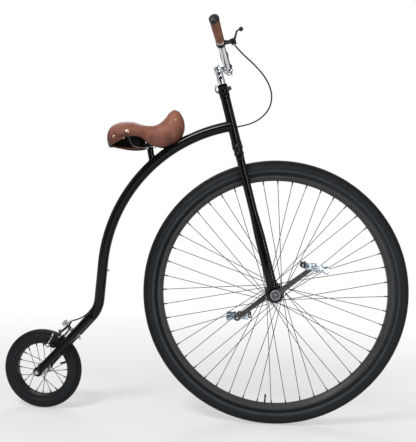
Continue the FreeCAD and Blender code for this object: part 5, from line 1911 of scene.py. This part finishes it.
@dataclass
class RearBrake(Assembly):
    """The caliper brake over the rear tyre, in the rear fork's frame."""

    bridge_at: float = 178
    arm: float = 3.4

    def path(self, side: float, level: float) -> list[Vector]:
        """The middle line of a brake arm.

        Args:
            side: Which side its pad is on.
            level: Its level on the pivot bolt.

        Returns:
            The line.
        """
        way = -side
        return [Vector((190, level + 6, way * 22)), Vector((178, level, 0)),
                Vector((160, level, side * 26)), Vector((132, level, side * 40)),
                Vector((88, 42, side * 38))]

    def build(self) -> None:
        """Make the brake's pieces."""
        bolt, studs = Shape(), Shape()
        along = shift(x=self.bridge_at) @ turn(-90, "X")
        bolt.drum(3, -24, 52, along, 0.6, 20)
        bolt.hexagon(6.5, -18, -12.6, along)
        bolt.hexagon(6.2, 47.6, 53.4, along)
        bolt.lathe([(3.1, 9.5), (8, 9.5), (8, 13), (6.4, 14.5), (6.4, 22), (8, 24), (8, 27.5), (3.1, 27.5)],
                   along, 32, edge=0.6)
        bolt.dome(4.2, 2.6, along @ shift(z=53.2), 0.4)
        self.fit("brake_pivot", bolt, Finish.STEEL, "brake_bolt")
        for name, side, level, node in (("brake_arm_near", -1, 33, "brake_arm_left"),
                                        ("brake_arm_far", 1, 42.5, "brake_arm_right")):
            arm = Shape()
            line = smooth_path(self.path(side, level))
            last = len(line) - 1
            radii = [self.arm * (1.05 - 0.12 * math.sin(math.pi * i / last)) for i in range(last + 1)]
            arm.tube(line, radii, 16, domed=True, widen=1.35)
            arm.drum(7, -3.4, 3.4, shift(self.bridge_at, level) @ turn(-90, "X"), 1, 32, 3.1)
            arm.drum(5, -3.2, 3.2, shift(190, level + 6, -side * 22) @ turn(-90, "X"), 1, 24)
            self.fit(name, arm, Finish.BLACK_METAL, node)
            outward = shift(88, 42) @ facing(side)
            studs.drum(3, 32.7, 43, outward, 0.5, 20)
            studs.drum(7.4, 41.6, 43.2, outward, 0.4, 28, 3)
            studs.dome(6.2, 5.4, outward @ shift(z=43), 1.2, 32)
            spring_arm = ((96, 46, side * 44), (112, 50, side * 43), (130, 56, side * 38))
            studs.tube([Vector(point) for point in spring_arm], 1.3, 12, domed=True, widen=1.8)
            studs.block((8, 6, 6), shift(131, 57, side * 37), 1.2, 0.8)
            studs.tube(smooth_path([(178, 30, side * 7), (166, 30, side * 16), (150, 30.5, side * 27),
                                    (134, level - 4.5, side * 37)], 5), 0.9, 10, domed=True)
            studs.bolt(3.2, 2.4, shift(190, level + 9.2, -side * 22) @ turn(-90, "X"))
        self.fit("brake_studs", studs, Finish.STEEL)
        self.build_pads()
        self.build_anchor()

    def build_pads(self) -> None:
        """Make the brake pads with their holders."""
        pads, holders = Shape(), Shape()
        lean = math.degrees(math.atan2(42, 88)) + 90
        for side in SIDES:
            seat = shift(88, 42, side * 28.2) @ turn(lean)
            pads.block((46, 11, 5.6), seat @ shift(z=-side * 1.6), 2.6, 0.8)
            for groove in (-13, 0, 13):
                pads.block((9, 10, 9), seat @ shift(x=groove), 1.2, 0.6)
            holders.block((44, 9.6, 3.2), seat @ shift(z=side * 2.8), 2.4, 0.8)
            holders.drum(5.4, 3.4, 6.6, seat @ facing(side), 0.8, 24)
        self.fit("brake_pad_blocks", pads, Finish.PAD, "brake_pads")
        self.fit("brake_pad_holders", holders, Finish.BLACK_METAL)

    def build_anchor(self) -> None:
        """Make the anchor block that the cable ends in, with its adjuster."""
        block, screw = Shape(), Shape()
        block.block((22, 12, 16), shift(179, 58), 2.6, 1)
        block.block((16, 7, 26), shift(178, 55.5), 2, 0.9)
        foot = Vector((195.6, 50.5, 0))
        barrel = aim(foot, foot + (Vector((205, 43.5, -4)) - foot).normalized())
        screw.lathe([(0, -13), (2.6, -13), (2.6, -7), (4.5, -6.4), (4.5, 0.6), (3.4, 1.6), (3.4, 4.6),
                     (2.6, 5), (0, 5)], barrel, 24, edge=0.3, rounds=2)
        screw.ridges(14, (0.7, 0.9, 5.4), 4.3, -2.9, barrel)
        for out in (-9, 9):
            screw.bolt(3, 2.2, shift(178, 59.4, out) @ turn(-90, "X"))
        screw.bolt(3.6, 2.4, shift(181, 64) @ turn(-90, "X"))
        screw.drum(2.2, -14, 14, shift(172, 60), 0.5, 18)
        self.fit("anchor_block", block, Finish.BRAKE_ALLOY, "brake_anchor")
        self.fit("anchor_screws", screw, Finish.CHROME)


# ---------------- studio


@dataclass(frozen=True)
class Camera:
    """A camera on the bicycle's right that looks a little down and to its rear."""

    place: Point = (0.5666, -2.6666, -0.2003)
    heading: float = 8.725
    pitch: float = -3.965
    roll: float = -1.277
    lens: float = 63.15
    shift: Pair = (0.0367, 0.0382)

    def build(self) -> None:
        """Make the camera and set it as the scene's."""
        data = bpy.data.cameras.new("camera")
        data.lens = self.lens
        data.shift_x, data.shift_y = self.shift
        aimed = shift(*self.place) @ turn(self.heading) @ turn(90 + self.pitch, "X") @ turn(-self.roll)
        bpy.context.scene.camera = stand("camera", data, aimed)


@dataclass(frozen=True)
class Softbox:
    """A rectangular lamp that faces a point, with its power in watts."""

    name: str
    place: Point
    target: Point
    width: float
    height: float
    power: float

    def build(self) -> None:
        """Make the lamp."""
        data = bpy.data.lights.new(self.name, "AREA")
        data.shape, data.size, data.size_y, data.energy = "RECTANGLE", self.width, self.height, self.power
        lamp = stand(self.name, data, Matrix())
        lamp.location = self.place
        lamp.rotation_euler = (Vector(self.target) - lamp.location).to_track_quat("-Z", "Y").to_euler()


@dataclass(frozen=True)
class Studio:
    """A pale floor, a white world and soft lamps."""

    floor_radius: float = 9
    softboxes: tuple[Softbox, ...] = (
        Softbox("key_lamp", (-1.1, -2.4, 2.2), (0, 0, -0.2), 1.2, 0.8, 80),
        Softbox("fill_lamp", (2.1, -3, 0), (0, 0, -0.3), 0.2, 2.2, 46),
        Softbox("back_lamp", (-1, 2.8, 1.8), (0, 0, -0.4), 2, 1.4, 36))

    def floor(self) -> None:
        """Lay the floor: paper that other rays see, and a glow that fades in with distance."""
        shape = bmesh.new()
        bmesh.ops.create_circle(shape, cap_ends=True, segments=96, radius=self.floor_radius)
        mesh = bpy.data.meshes.new("floor")
        shape.to_mesh(mesh)
        shape.free()
        graph = Graph(bpy.data.materials.new("floor_paper"), "MixShader")
        paper = graph.add("BsdfDiffuse", {"Color": (0.78, 0.78, 0.78, 1)})
        glow = graph.add("Emission", {"Strength": 1})
        distance = graph.add("VectorMath", {0: graph.coords["Object"]}, "Value", operation="LENGTH")
        spread = graph.between(distance, 0.45, 1, 0.6, 2.2)
        seen = graph.maths("MULTIPLY", self.seen(graph, "Glossy"), spread)
        for index, value in enumerate((seen, paper, glow)):
            graph.put(graph.shader.inputs[index], value)
        mesh.materials.append(graph.owner)
        floor = stand("floor", mesh, Matrix())
        floor.location = (0, 0, GROUND_Z)

    def seen(self, graph: Graph, also: str) -> Socket:
        """Whether a ray comes from the camera, or is of one other kind."""
        rays = graph.add("LightPath", {}).node.outputs
        return graph.maths("MAXIMUM", rays["Is Camera Ray"], rays[f"Is {also} Ray"])

    def world(self) -> None:
        """Make a world: white behind the object, plain light on it, and walls and a ceiling in its shine."""
        graph = Graph(bpy.data.worlds.new("studio"), "Background")
        bpy.context.scene.world = graph.owner
        ways = graph.add("SeparateXYZ", {0: graph.coords["Generated"]}).node.outputs
        walls = graph.between(graph.maths("ABSOLUTE", ways["X"]), 0.05, 0.55, 0.5, 0.9,
                              interpolation_type="SMOOTHSTEP")
        ceiling = graph.between(ways["Z"], 0, 0.9, 0.3, 0.75, interpolation_type="SMOOTHSTEP")
        shiny = graph.add("LightPath", {}, "Is Glossy Ray")
        room = graph.maths("MAXIMUM", walls, ceiling)
        fill = graph.add("Mix", {"Factor": shiny, "A": 0.36, "B": room})
        plain = self.seen(graph, "Transmission")
        graph.set(Color=(1, 1, 1, 1), Strength=graph.add("Mix", {"Factor": plain, "A": fill, "B": 1}))

    def build(self) -> None:
        """Make the floor, the world, the lamps and the view settings."""
        bpy.context.scene.view_settings.view_transform = "Standard"
        self.floor()
        self.world()
        for softbox in self.softboxes:
            softbox.build()


def main() -> None:
    """Build the studio and every sub-assembly, and report each piece."""
    logging.basicConfig(level=logging.INFO, format="%(message)s")
    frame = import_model()
    slots = {entry["node"]: entry["material_slot"] for entry in frame["record"]["subparts"]}
    for node, piece in frame["nodes"].items():
        dress(piece, NODE_FINISH.get(node, SLOT_FINISH[slots[node]]))
    Camera().build()
    Studio().build()
    fork, bars, ride, stay = LAYOUT.fork(), LAYOUT.bars(), LAYOUT.ride(), LAYOUT.stay()
    cable = BrakeCable(Matrix(), Body.FRAME)
    cable.build()
    bar = Handlebar(bars, Body.FORK)
    BrakeLever(bars, Body.FORK, bar).build(Vector(cable.loop[0]), Vector(cable.loop[1]))
    for assembly in (
            front_wheel(), rear_wheel(), Cranks(LAYOUT.crank(), Body.FRONT_WHEEL), pedal(Side.RIGHT, -12, -1),
            pedal(Side.LEFT, 5, 1), Crown(fork, Body.FORK), Housings(LAYOUT.front(), Body.FORK),
            Headset(LAYOUT.head(), Body.FRAME), Stem(fork, Body.FORK), Clamp(bars, Body.FORK), bar,
            Saddle(ride, Body.FRAME), Welds(ride, Body.FRAME), Dropouts(stay, Body.FRAME),
            StepTread(ride @ shift(-612.5, 17.4, 492), Body.FRAME), RearBrake(stay, Body.FRAME)):
        LOG.info("building %s", type(assembly).__name__)
        assembly.build()


if __name__ == "__main__":
    main()
